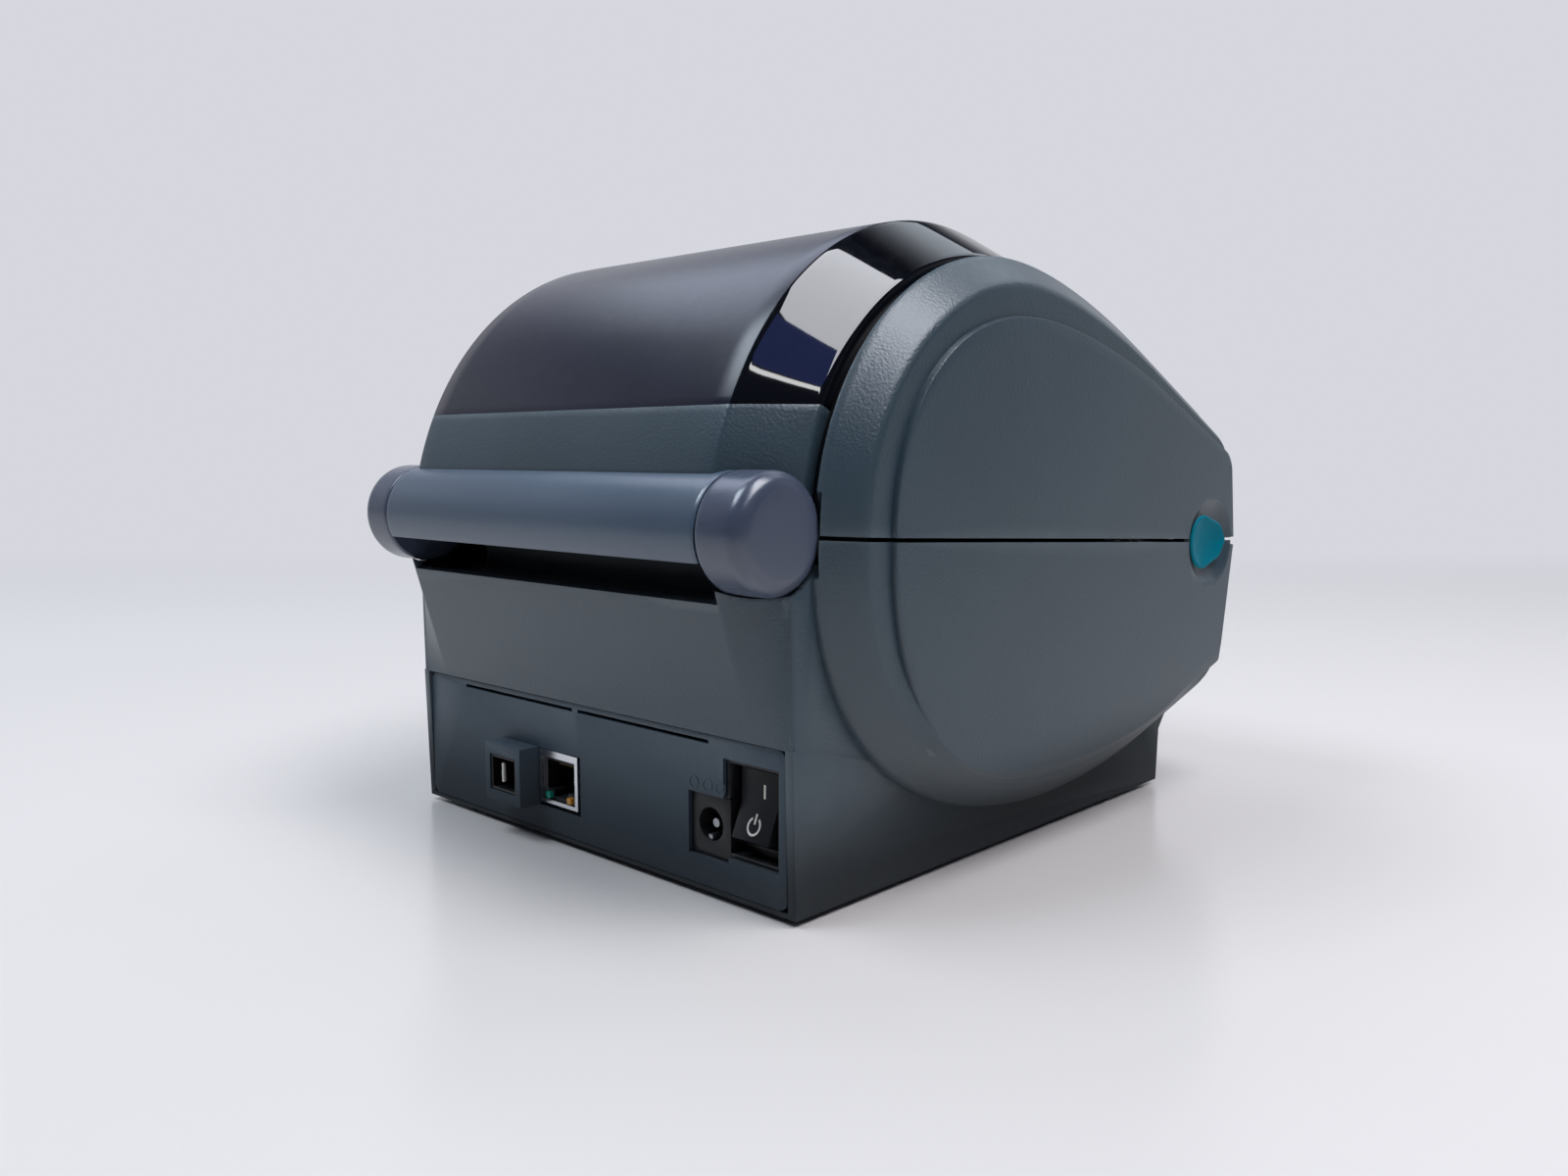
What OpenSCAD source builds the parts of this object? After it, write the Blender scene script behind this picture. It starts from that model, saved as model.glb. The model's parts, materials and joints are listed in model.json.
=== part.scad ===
// Desktop label printer with a hinged cover, built as separate pieces.
// The cover front is at -Y, the hinge barrel and the ports are at +Y.

/* [Overall] */
// Width over the two side cheeks
body_w = 171; // [150:1:205]
// Depth from the front lip to the back of the hinge barrel
body_d = 210; // [196:1:252]
// Height of the cover's crown above the bottom edge of the casing
crown_h = 159; // [154:1:180]
// Height of the rubber feet under the casing
foot_h = 1.5; // [1:0.5:4]
// How far each cheek stands out from the core
cheek_t = 10.75; // [9:0.25:14]

/* [Casing] */
// Wall of the casing mouldings
wall = 2.4; // [2:0.2:3]
// Gap along the parting line between base and cover
part_gap = 1; // [0.6:0.1:1.5]
// Height of the parting line at the front lip
part_front_z = 74; // [72:0.5:76]
// Height of the top of the cheeks
cheek_top_z = 149.6; // [144:0.5:152]
// Depth of the bevel around the face of a cheek
bevel_in = 7.5; // [5:0.5:9]
// How far the raised field stands out from the face of a cheek
field_t = 1.5; // [1:0.1:2]
// Half width of the flat middle of the cover
crease_x = 59.4; // [56:0.2:61]
// Height of the joint between the rear band and the window
seam_z = 112; // [108:1:120]
// Place of the front edge of the window
window_front_y = -14; // [-24:1:0]
// Rounding of the nose of the casing
nose_r = 6; // [3:0.5:8]

/* [Hinge] */
// Outer radius of the hinge barrel and its end caps
barrel_r = 13.4; // [12:0.2:14]
// Height of the hinge axis
hinge_z = 84.7; // [84:0.1:90]
// Wall of the barrel cover
barrel_wall = 2.2; // [1.8:0.1:3]
// Radius of the hinge pins
hinge_pin_r = 3; // [2:0.5:4]
// Length of each end cap
cap_len = 13.2; // [11:0.2:15]

/* [Rear panel] */
// Height of the connector panel
panel_h = 36.2; // [36:0.1:37]
// Width and height of the network port
net_port = [16.4, 14.3];
// Width and height of the hood around the square data port
hood = [16, 15.9];
// Width and height of the square data port's mouth
data_mouth = [11.5, 9.5];
// How far the hood stands out of the panel
hood_out = 6; // [3:0.5:8]
// Width and height of the power jack body
jack_body = [13, 14.6];
// Radius of the power jack's socket
jack_r = 4; // [3:0.1:4.5]
// Width and height of the switch opening
switch_hole = [17.6, 23.1];
// Width of the rocker
rocker_w = 11.4; // [8:0.2:12]

/* [Paper path] */
// Radius of the platen roller
platen_r = 8.5; // [7.5:0.1:8.5]
// Radius of the platen shaft
shaft_r = 3; // [2.5:0.25:4]
// Gap left beside the paper well for the gears
gear_room = 12; // [12:0.25:13]
// Wall of the inner chassis
chassis_t = 2; // [1.6:0.2:2.4]
// Radial play of a shaft in its hole
run_fit = 0.05; // [0.02:0.01:0.1]
// Radius of the hubs that hold the core of a roll
hub_r = 11.8; // [10:0.1:12.5]
// Radius of the flange behind each hub
flange_r = 20; // [16:0.5:22]
// Outward travel of each roll holder
holder_travel = 41; // [30:1:42]
// Half of the gap between the closed roll holders
holder_gap = 10; // [9:0.5:12]

/* [Gears] */
// Module of the drive gears
gear_m = 0.8; // [0.7:0.05:0.8]
// Teeth on the platen gear
platen_teeth = 36; // [30:1:36]
// Teeth on the small wheel of the idler
idler_small_teeth = 20; // [18:1:22]
// Teeth on the large wheel of the idler
idler_large_teeth = 52; // [48:1:52]
// Teeth on the motor pinion
motor_teeth = 14; // [14:1:16]
// Teeth on the pinion that links the roll holders
link_teeth = 16; // [14:1:18]
// Radius of the drive motor
motor_r = 17.5; // [15:0.5:17.5]

/* [Controls] */
// Turn of a cover latch when it is pulled
latch_turn = 6; // [4:0.5:7]
// Radius of the feed button
feed_r = 6.5; // [5:0.5:8]
// Travel of the feed button
feed_travel = 1.2; // [0.8:0.1:1.5]

/* [Hidden] */
$fn = 48;
slack = 0.3;
far = 300;
front_y = -body_d / 2;
hinge_y = body_d / 2 - barrel_r;
core_x = body_w / 2 - cheek_t;
face_x = body_w / 2 - field_t;
core_in = core_x - wall;
rear_y = hinge_y - 5;
cheek_back = hinge_y - 9.8;
chassis_x = core_in - gear_room;
well_x = chassis_x - chassis_t;
cap_x = core_x - 12;
cap_end = cap_x + cap_len;
cap_round = 3;
pin_rest = 3.2;
rim_x = core_x - 1.5;
cheek_in = core_x + 0.6;
slope = (hinge_z - 0.6 - part_front_z) / (hinge_y - front_y);
function part_z(y) = part_front_z + (y - front_y) * slope;

// Round stretch from p0 to p1 that turns at the corner c; k says how full it is.
function bend(p0, c, p1, k = 0.6, n = 12) = [for (i = [0:n]) let (
    t = i / n, a = p0 + k * (c - p0), b = p1 + k * (c - p1))
    pow(1 - t, 3) * p0 + 3 * pow(1 - t, 2) * t * a + 3 * (1 - t) * t * t * b + pow(t, 3) * p1];

// Side outlines, as points (y, z)
nose_z = cheek_top_z - 39.8;
cheek_rise = 0.441;
cheek_turn_y = front_y + (cheek_top_z - nose_z) / cheek_rise;
cheek_crown_y = cheek_turn_y + 26.6;
slope_end_y = cheek_turn_y - 43.2;
cheek_low_z = 9.2;
cheek_low_y = cheek_crown_y - 22;
cheek_outline = concat(
    [[front_y - 25, nose_z - 25 * cheek_rise]],
    bend([slope_end_y, cheek_top_z - 43.2 * cheek_rise], [cheek_turn_y, cheek_top_z],
        [cheek_crown_y, cheek_top_z], 0.65),
    bend([cheek_crown_y, cheek_top_z], [cheek_back, cheek_top_z], [cheek_back, hinge_z], 0.552, 16),
    bend([cheek_back + 0.4, hinge_z - 5], [cheek_back + 0.4, cheek_low_z],
        [cheek_low_y, cheek_low_z], 0.62, 16),
    bend([cheek_low_y, cheek_low_z], [cheek_low_y - 28, cheek_low_z],
        [cheek_low_y - 56, cheek_low_z + 8], 0.6, 6),
    [[front_y - 25, cheek_low_z + 25]]);
field_top_z = cheek_top_z - 15;
field_back = cheek_back - 15.3;
field_outline = concat(
    [[front_y - 25, nose_z - 20.5]],
    bend([slope_end_y, field_top_z - 16.5], [slope_end_y + 39, field_top_z],
        [cheek_crown_y, field_top_z], 0.57),
    bend([cheek_crown_y, field_top_z], [field_back, field_top_z], [field_back, hinge_z - 3], 0.6, 14),
    bend([field_back, hinge_z - 4.7], [field_back, 22], [cheek_crown_y, 22], 0.6, 14),
    [[cheek_low_y, 20], [cheek_low_y - 45, 25], [front_y + 8, 37.5], [front_y - 25, 45]]);
front_outline = [[far, -10], [front_y + 27, -10], [front_y + 25.5, 16], [front_y + 7.5, 37],
    [front_y + 6, 42], [front_y, part_front_z - 1], [front_y, part_front_z + 1],
    [front_y + 3.7, part_front_z + 30], [front_y + 15, far], [far, far]];
crown_turn_y = front_y + 96.8;
crown_rise = 0.488;
crown_foot_y = crown_turn_y - 41.8;
crown_back_y = crown_turn_y + 28.2;
band_aim = 68.28;
band_foot = [hinge_y, hinge_z] + (barrel_r - 0.16) * [cos(band_aim), sin(band_aim)];
crown_outline = concat(
    [[front_y - 10, 60], [front_y - 10, crown_h - (crown_turn_y - front_y + 10) * crown_rise]],
    bend([crown_foot_y, crown_h - 41.8 * crown_rise], [crown_turn_y, crown_h],
        [crown_back_y, crown_h], 0.6, 10),
    bend([crown_back_y, crown_h], [hinge_y - 10.6, crown_h], band_foot, 0.6, 18),
    [[band_foot[0], 60]]);

// Places of the moving parts
platen_y = front_y + 21;
platen_z = 67.5;
well_front = platen_y + 26.5;
well_back = hinge_y - 18.1;
well_y = (well_front + well_back) / 2;
well_r = (well_back - well_front) / 2;
well_floor = 16.5;
well_z = well_floor + chassis_t + well_r;
mesh_gap = 0.15;
idler_aim = -56;
function gear_r(teeth) = gear_m * teeth / 2;
idler_dist = gear_r(platen_teeth) + gear_r(idler_small_teeth) + mesh_gap;
motor_dist = gear_r(idler_large_teeth) + gear_r(motor_teeth) + mesh_gap;
idler_y = platen_y + idler_dist * cos(idler_aim);
idler_z = platen_z + idler_dist * sin(idler_aim);
motor_y = idler_y + motor_dist * cos(idler_aim);
motor_z = idler_z + motor_dist * sin(idler_aim);
gear_a = [chassis_x + 1.6, chassis_x + 5.6];
gear_b = [chassis_x + 5.9, chassis_x + 9.4];
link_m = 1;
link_r = link_m * link_teeth / 2;
rack_z = [11.2, 14.7];
rack_h = 5;
leg_dy = link_r + 2.5;
latch_y = front_y + 19;
latch_z = 74.7;
latch_pivot_z = latch_z - 26.7;
latch_x = core_x + 1.6;
lever_t = 2.4;
latch_pin_r = 2;
latch_swing = (latch_z - latch_pivot_z) * tan(latch_turn);
dish_r = 22;
dish_x = body_w / 2 + 18.2;
pcb_z = 6.8;
pcb_t = 1.6;
board_back = rear_y - wall - 1;
data_x = 27.5;
data_z = 15.6;
net_x = 10.1;
net_z = 16.3;
jack_x = -core_x + 27.7;
jack_z = 15.7;
switch_x = -core_x + 13.8;
switch_z = 21.1;
rocker_z = switch_z + 0.6;
rocker_y = rear_y - 7;
rocker_tilt = 12.3;
feed_x = 38;
feed_y = front_y + 27;
feed_tilt = atan(crown_rise);
feed_z = crown_h - (crown_turn_y - feed_y) * crown_rise;
head_z = platen_z + platen_r + slack;
head_half = platen_half_len() + 1;
function platen_half_len() = well_x - 4;

body_grey = [0.20, 0.25, 0.27];
cap_grey = [0.36, 0.40, 0.46];
steel = [0.72, 0.73, 0.75];
dark = [0.06, 0.06, 0.07];

// Stands a piece on the feet: all heights below are above the casing's bottom edge.
module up() { translate([0, 0, foot_h]) children(); }
// Extrudes a side outline (y, z) across the printer from x0 to x1.
module across(x0, x1) {
    translate([x0, 0, 0]) rotate([90, 0, 90]) linear_extrude(x1 - x0) children();
}
// A round bar that lies across the printer.
module rod(x0, x1, y, z, r) {
    translate([x0, y, z]) rotate([0, 90, 0]) cylinder(h = x1 - x0, r = r);
}
// A box from its low corner to its high corner.
module block(lo, hi) { translate(lo) cube(hi - lo); }
module mirror_x(on = true) { if (on) mirror([1, 0, 0]) children(); else children(); }
module both_sides() { children(); mirror([1, 0, 0]) children(); }
// Half planes above and below the parting line
module above_parting(gap) {
    polygon([[front_y - 20, part_z(front_y - 20) + gap], [far, part_z(far) + gap],
        [far, far], [front_y - 20, far]]);
}
module below_parting(gap) {
    polygon([[front_y - 20, part_z(front_y - 20) - gap], [far, part_z(far) - gap],
        [far, -far], [front_y - 20, -far]]);
}
module nose_cut(inset) {
    offset(r = nose_r) offset(delta = -nose_r - inset) polygon(front_outline);
}
module cheek_side(inset) {
    intersection() {
        offset(delta = -inset) polygon(cheek_outline);
        nose_cut(inset > bevel_in ? inset - bevel_in : (inset == bevel_in ? 0 : inset));
    }
}
// Solid cheek on the +X side, thinner by skin all round
module cheek_body(skin) {
    hull() {
        across(core_in - 2, cheek_in + 1.2 - skin / 2) cheek_side(skin);
        across(face_x - skin - 0.1, face_x - skin) cheek_side(bevel_in + skin);
    }
}
module cheek_field(skin) {
    across(face_x - 2, body_w / 2 - skin) offset(delta = -skin) intersection() {
        polygon(field_outline);
        nose_cut(0);
    }
}
module hinge_relief(x0, x1) { rod(x0, x1, hinge_y, hinge_z, barrel_r + slack + 0.1); }
// Dish around the latch button on the +X side
module latch_dish(r) {
    for (y = [latch_y, latch_y - 4]) translate([dish_x, y, latch_z]) sphere(r);
    translate([dish_x, latch_y, latch_z]) rotate([90, 0, 0]) cylinder(h = 4, r = r);
}
module latch_window() {
    block([core_in - 4, latch_y - latch_swing - 5.7, latch_z - 5.8],
        [body_w, latch_y + 8.2, latch_z + 5.8]);
}
module latch_pad() { rod(face_x - 5.2, face_x - 1, latch_y - 1, latch_z, 15.5); }

// ---- Base casing
base_outline = [[rear_y, 0], [rear_y + 1, panel_h + 1.5], [rear_y + 1.4, hinge_z - barrel_r - 0.5],
    [rear_y + 1.4, far], [front_y - 5, far], [front_y - 5, 0]];
module base_side(inset) {
    intersection() {
        offset(delta = -inset) polygon(base_outline);
        nose_cut(inset);
    }
}
chute_low = panel_h + 1.8;
chute_x = chassis_x + 0.65;
lip_z = 69.4;
lip_y = hinge_y + 5.4;
module chute_solid(inset) {
    hull() {
        across(-chute_x + inset, chute_x - inset)
            polygon([[rear_y - 6, chute_low], [rear_y + 0.6 - inset, chute_low],
                [lip_y - inset, lip_z + inset], [rear_y - 6, lip_z + inset]]);
        across(-core_x + 1.5 + inset, core_x - 1.5 - inset)
            polygon([[rear_y - 6, chute_low], [rear_y + 0.6 - inset, chute_low],
                [rear_y + 1 - inset, lip_z + inset], [rear_y - 6, lip_z + inset]]);
    }
}
module base_body(skin) {
    intersection() {
        across(-core_x + skin, core_x - skin) base_side(skin);
        across(-far, far) below_parting(skin > 0 ? -20 : part_gap / 2);
    }
}
module base_shell() {
    color(body_grey) up() difference() {
        union() {
            difference() {
                union() {
                    base_body(0);
                    chute_solid(0);
                    both_sides() intersection() {
                        union() { cheek_body(0); cheek_field(0); }
                        across(0, far) below_parting(part_gap / 2);
                    }
                }
                base_body(wall);
                chute_solid(wall);
                both_sides() cheek_body(wall);
                // open underside for the bottom plate
                block([-core_in, front_y + 30, -1], [core_in, rear_y - wall, wall]);
            }
            both_sides() intersection() {
                latch_pad();
                across(0, far) below_parting(part_gap / 2);
            }
            both_sides() rod(latch_x + lever_t + slack, face_x - 1, latch_y, latch_pivot_z, 4);
        }
        // room for the hinge barrel and its caps
        hinge_relief(-cap_end - slack, cap_end + slack);
        block([-cap_x - 0.4, lip_y - 14, lip_z], [cap_x + 0.4, far, far / 2]);
        // opening for the connector panel
        block([-core_in, rear_y - wall - 2, 1.2], [core_in, far, 1.2 + panel_h + 0.4]);
        both_sides() {
            latch_dish(dish_r);
            latch_window();
            rod(latch_x, face_x - 2, latch_y, latch_pivot_z, latch_pin_r);
        }
        // way for the label at the front
        block([-well_x, front_y - 5, part_front_z - 0.6], [well_x, front_y + 8, far / 2]);
    }
}
module bottom_plate() {
    color(dark) up() difference() {
        block([-core_in + 0.2, front_y + 30.2, 0.4], [core_in - 0.2, rear_y - wall - 0.2, wall]);
        for (x = [-1, 1], y = [front_y + 42, rear_y - 16])
            translate([x * (core_in - 8), y, -1]) cylinder(h = 10, r = 1.6);
        for (x = [-5:5]) block([x * 9 - 2, -20, -1], [x * 9 + 2, 20, 10]);
    }
}
module rubber_feet() {
    color(dark) for (x = [-1, 1], y = [front_y + 36, rear_y - 12])
        translate([x * (core_x - 22), y, 0]) cylinder(h = foot_h + 0.4, r = 6);
}
module bottom_screws() {
    color(steel) up() for (x = [-1, 1], y = [front_y + 42, rear_y - 16])
        translate([x * (core_in - 8), y, 0.2]) {
            cylinder(h = 4.6, r = 1.5);
            translate([0, 0, -0.9]) cylinder(h = 1, r = 2.8);
        }
}

// ---- Connector panel and what sits behind it
panel_y = rear_y + 0.2;
module round_plate(w, z0, z1, y0, y1, r) {
    translate([0, y1, 0]) rotate([90, 0, 0]) linear_extrude(y1 - y0) offset(r = r) offset(delta = -r)
        polygon([[-w, z0], [w, z0], [w, z1], [-w, z1]]);
}
module port_hole(x, z, size, play) {
    block([x - size[0] / 2 - play, rear_y - 30, z - size[1] / 2 - play],
        [x + size[0] / 2 + play, far, z + size[1] / 2 + play]);
}
module rear_panel() {
    color(body_grey) up() difference() {
        union() {
            round_plate(core_in - 0.3, 1.4, 1.4 + panel_h - 0.2, panel_y - wall, panel_y, 2.5);
            block([data_x - hood[0] / 2, panel_y - 1, data_z - hood[1] / 2],
                [data_x + hood[0] / 2, panel_y + hood_out, data_z + hood[1] / 2]);
        }
        port_hole(data_x, data_z, data_mouth, 0.2);
        port_hole(net_x, net_z - 0.6, net_port, 0.7);
        port_hole(jack_x, jack_z, jack_body, 0.2);
        port_hole(switch_x, switch_z, switch_hole, 0);
        // vent slots under the top edge
        for (x = [[4.2, 53.8], [-47.3, 1.8]]) block([x[0], 0, 35.2], [x[1], far, 36.1]);
    }
}
module data_port() {
    depth = 15;
    back = panel_y + hood_out - 2 - depth;
    color(steel) up() difference() {
        block([data_x - data_mouth[0] / 2, back, data_z - data_mouth[1] / 2],
            [data_x + data_mouth[0] / 2, back + depth, data_z + data_mouth[1] / 2]);
        difference() {
            block([data_x - data_mouth[0] / 2 + 0.6, back + 3, data_z - data_mouth[1] / 2 + 0.6],
                [data_x + data_mouth[0] / 2 - 0.6, far, data_z + data_mouth[1] / 2 - 0.6]);
            block([data_x - 2.9, back, data_z - 1.6], [data_x + 2.9, back + 11.5, data_z + 1.6]);
        }
    }
}
module network_port() {
    depth = 16;
    color(steel) up() difference() {
        block([net_x - net_port[0] / 2, panel_y - depth, net_z - net_port[1] / 2],
            [net_x + net_port[0] / 2, panel_y + 0.4, net_z + net_port[1] / 2]);
        block([net_x - net_port[0] / 2 + 1.2, panel_y - depth + 1, net_z - net_port[1] / 2 + 1],
            [net_x + net_port[0] / 2 - 1.2, far, net_z + net_port[1] / 2 - 1.8]);
    }
}
module network_port_core() {
    w = net_port[0] / 2 - 1.25;
    lo = net_z - net_port[1] / 2 + 1.05;
    hi = net_z + net_port[1] / 2 - 1.85;
    color(dark) up() difference() {
        block([net_x - w, panel_y - 14.9, lo], [net_x + w, panel_y - 0.6, hi]);
        block([net_x - 5.9, panel_y - 12, lo + 2.6], [net_x + 5.9, far, hi - 1]);
        block([net_x - 3, panel_y - 12, lo + 0.8], [net_x + 3, far, hi - 2]);
    }
}
module power_jack() {
    color(dark) up() difference() {
        block([jack_x - jack_body[0] / 2, panel_y - 14, jack_z - jack_body[1] / 2],
            [jack_x + jack_body[0] / 2, panel_y - 1, jack_z + jack_body[1] / 2]);
        translate([jack_x, panel_y + 1, jack_z + 0.3]) rotate([90, 0, 0]) cylinder(h = 12, r = jack_r);
    }
}
module power_jack_pin() {
    color(steel) up() translate([jack_x, panel_y - 2.6, jack_z + 0.3]) rotate([90, 0, 0]) {
        cylinder(h = 8.4, r = 1.05);
    }
}
module switch_frame() {
    w = switch_hole[0] / 2 - 0.1;
    h = switch_hole[1] / 2 - 0.1;
    color(dark) up() difference() {
        block([switch_x - w, panel_y - 16, switch_z - h], [switch_x + w, panel_y - 1, switch_z + h]);
        block([switch_x - w + 1, panel_y - 5, switch_z - h + 1],
            [switch_x + w - 1, far, switch_z + h - 0.8]);
        block([switch_x - rocker_w / 2 - 0.4, panel_y - 14, rocker_z - 9.2],
            [switch_x + rocker_w / 2 + 0.4, far, rocker_z + 9.2]);
        rod(switch_x - rocker_w / 2 - 1.6, switch_x + rocker_w / 2 + 1.6, rocker_y, rocker_z, 1.25);
        // the jack stands close beside the switch
        port_hole(jack_x, jack_z, jack_body, 0.2);
    }
}
// Rocker seen from the side, about its pivot, level between its two positions
rocker_side = [[-4, 4], [1.5, 8.4], [6, 8], [4.4, 0], [6, -8], [1.5, -8.4], [-4, -4]];
module power_rocker() {
    color(dark) up() translate([switch_x, rocker_y, rocker_z]) {
        // upper half pressed in
        across(-rocker_w / 2, rocker_w / 2) rotate(rocker_tilt) polygon(rocker_side);
        rod(-rocker_w / 2 - 1.4, rocker_w / 2 + 1.4, 0, 0, 1.2);
    }
}
module hinge_cap() {
    difference() {
        union() {
            rod(cap_x, cap_end - cap_round, hinge_y, hinge_z, barrel_r);
            // rounded end of the cap
            translate([cap_end - cap_round, hinge_y, hinge_z]) rotate([0, 90, 0])
                rotate_extrude() intersection() {
                    square([barrel_r, cap_round]);
                    union() {
                        square([barrel_r - cap_round, cap_round]);
                        translate([barrel_r - cap_round, 0]) circle(r = cap_round);
                    }
                }
        }
        rod(cap_x - 1, cap_end - pin_rest, hinge_y, hinge_z, hinge_pin_r);
    }
}
module hinge_cap_left() { color(cap_grey) up() mirror_x() hinge_cap(); }
module hinge_cap_right() { color(cap_grey) up() hinge_cap(); }
module hinge_pins() {
    color(steel) up() both_sides() rod(cap_x - 4.6, cap_end - pin_rest, hinge_y, hinge_z, hinge_pin_r);
}

// ---- Inner chassis, boards and fixed mechanics
ramp_end = lip_y - 4.7;
chassis_side = [[platen_y - 8, 56], [platen_y - 8, 71], [platen_y - 5, 74], [well_back, 76],
    [well_back + 1.8, 68.5], [ramp_end, 68.5], [ramp_end, 66], [rear_y - 20, 58],
    [rear_y - 20, 26], [rear_y - 30, 10.4], [motor_y - 19, 10.4], [motor_y - 19, 24],
    [front_y + 22, 44]];
module media_chassis() {
    color([0.30, 0.32, 0.34]) up() difference() {
        union() {
            both_sides() across(well_x, chassis_x) polygon(chassis_side);
            intersection() {
                difference() {
                    rod(-chassis_x, chassis_x, well_y, well_z, well_r + chassis_t);
                    rod(-far, far, well_y, well_z, well_r);
                }
                across(-far, far) below_parting(2);
            }
            // ramp for folded paper, from the rear slot into the well
            block([-chassis_x, well_back, 66.5], [chassis_x, ramp_end, 68.5]);
            // deck between the well and the platen
            block([-chassis_x, platen_y + 9.5, 71], [chassis_x, well_front + 0.5, 73]);
            // tray under the platen
            block([-chassis_x, platen_y - 8, 56], [chassis_x, platen_y + 11.5, 57.6]);
            block([-chassis_x, platen_y + 9.5, 56], [chassis_x, platen_y + 11.5, 73]);
            translate([0, well_y, rack_z[0]]) cylinder(h = well_floor + 1.4 - rack_z[0], r = 3);
        }
        // slots for the legs of the roll holders
        for (s = [-1, 1]) mirror_x(s < 0)
            block([holder_gap - 0.6, well_y - s * leg_dy - 2.8, 0],
                [well_x, well_y - s * leg_dy + 2.8, 40]);
        // seats for the platen bearings
        both_sides() {
            rod(well_x - 1, chassis_x + 1, platen_y, platen_z, 5.5);
            block([well_x - 1, platen_y - 5.5, platen_z], [chassis_x + 1, platen_y + 5.5, 100]);
        }
        rod(well_x - 1, chassis_x + 1, idler_y, idler_z, 2);
        rod(well_x - 1, chassis_x + 1, motor_y, motor_z, 6);
        for (a = [45, 225]) rod(well_x - 1, chassis_x + 1,
            motor_y + 14 * cos(a), motor_z + 14 * sin(a), 1.5);
        // track of the mark sensor
        block([-well_x + 8, platen_y + 14.5, 69], [well_x - 8, platen_y + 20.5, 80]);
    }
}
module main_board() {
    color([0.05, 0.30, 0.16]) up() difference() {
        block([-core_in + 4, -35, pcb_z], [core_in - 4, board_back, pcb_z + pcb_t]);
        for (x = [-1, 1], y = [-29, board_back - 30])
            translate([x * (core_in - 8), y, 0]) cylinder(h = 20, r = 1.6);
    }
}
module board_chips() {
    top = pcb_z + pcb_t;
    color(dark) up() {
        block([-34, 42, top], [-16, 60, top + 1.6]);
        block([-10, 46, top], [4, 56, top + 1.4]);
        block([20, 40, top], [38, 50, top + 1.4]);
        block([44, 20, top], [56, 28, top + 1.4]);
    }
}
module board_capacitors() {
    color([0.15, 0.16, 0.35]) up() for (x = [6.35, 17.35], y = [50, 62])
        translate([x - well_x, y, pcb_z + pcb_t]) cylinder(h = 14, r = 4.5);
}
module board_screws() {
    color(steel) up() for (x = [-1, 1], y = [-29, board_back - 30])
        translate([x * (core_in - 8), y, wall]) {
            cylinder(h = pcb_z + pcb_t - wall + 0.1, r = 1.5);
            translate([0, 0, pcb_z + pcb_t - wall]) cylinder(h = 1.4, r = 2.8);
        }
}
module exit_guide() {
    color(body_grey) up() difference() {
        block([-well_x + 0.3, front_y + 3.9, 69], [well_x - 0.3, platen_y - 9.2, 72.4]);
        block([-well_x - 1, front_y + 5.5, 60], [well_x + 1, platen_y - 9, 70.6]);
    }
}
module tear_bar() {
    pitch = 2;
    count = floor((2 * well_x - 8) / pitch);
    color(steel) up() translate([-count * pitch / 2, 0, 0]) {
        block([0, front_y + 4.4, 72.4], [count * pitch, front_y + 8, 73.2]);
        block([0, front_y + 4.4, 73.2], [count * pitch, front_y + 5, 74.4]);
        for (i = [0:count - 1]) translate([i * pitch, front_y + 5, 74.4]) rotate([90, 0, 0])
            linear_extrude(0.6) polygon([[0, 0], [pitch, 0], [pitch / 2, 1]]);
    }
}
module drive_motor() {
    color([0.5, 0.51, 0.53]) up() {
        rod(well_x - 21, well_x, motor_y, motor_z, motor_r);
        rod(well_x, chassis_x, motor_y, motor_z, 5.9);
    }
}
module motor_screws() {
    color(steel) up() for (a = [45, 225]) {
        y = motor_y + 14 * cos(a);
        z = motor_z + 14 * sin(a);
        rod(well_x, chassis_x + 0.1, y, z, 1.4);
        rod(chassis_x, chassis_x + 1.4, y, z, 2.6);
    }
}
module idler_stud() {
    color(steel) up() rod(well_x + 0.2, gear_b[1] + 0.8, idler_y, idler_z, 2);
}
module gap_sensor() {
    color(dark) up() block([-6, platen_y + 11.6, 66], [6, platen_y + 13.3, 71]);
}
module platen_bearings() {
    color([0.85, 0.85, 0.82]) up() both_sides() difference() {
        rod(well_x - 0.6, chassis_x + 0.6, platen_y, platen_z, 5.5);
        rod(well_x - 1, chassis_x + 1, platen_y, platen_z, shaft_r + run_fit);
    }
}

// ---- Drive train
// Spur gear seen from the side with a tooth centred on +X
module gear_2d(teeth, m, thin = 0.12) {
    r = m * teeth / 2;
    base_r = r * cos(20);
    tip = r + 0.8 * m;
    root = r - 1.1 * m;
    function inv(rr) = let (a = acos(min(1, base_r / rr))) tan(a) - a * PI / 180;
    function half(rr) = (PI / (2 * teeth) - thin / r + inv(r) - inv(max(rr, base_r))) * 180 / PI;
    levels = [root, (base_r + r) / 2, r, tip];
    function at(rr, a) = [rr * cos(a), rr * sin(a)];
    polygon([for (i = [0:teeth - 1]) let (c = i * 360 / teeth) each concat(
        [for (l = levels) at(l, c - half(l))],
        [for (l = [3:-1:0]) at(levels[l], c + half(levels[l]))])]);
}
module wheel(x, y, z, teeth, turn) {
    translate([x[0], y, z]) rotate([90, 0, 90]) rotate(turn)
        linear_extrude(x[1] - x[0]) gear_2d(teeth, gear_m);
}
module platen_shaft() {
    color(steel) up() rod(-chassis_x - 2.5, gear_a[1] + 0.1, platen_y, platen_z, shaft_r);
}
module platen_rubber() {
    half = platen_half_len();
    color([0.13, 0.13, 0.13]) up() difference() {
        rod(-half, half, platen_y, platen_z, platen_r);
        rod(-half - 1, half + 1, platen_y, platen_z, shaft_r);
    }
}
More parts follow.
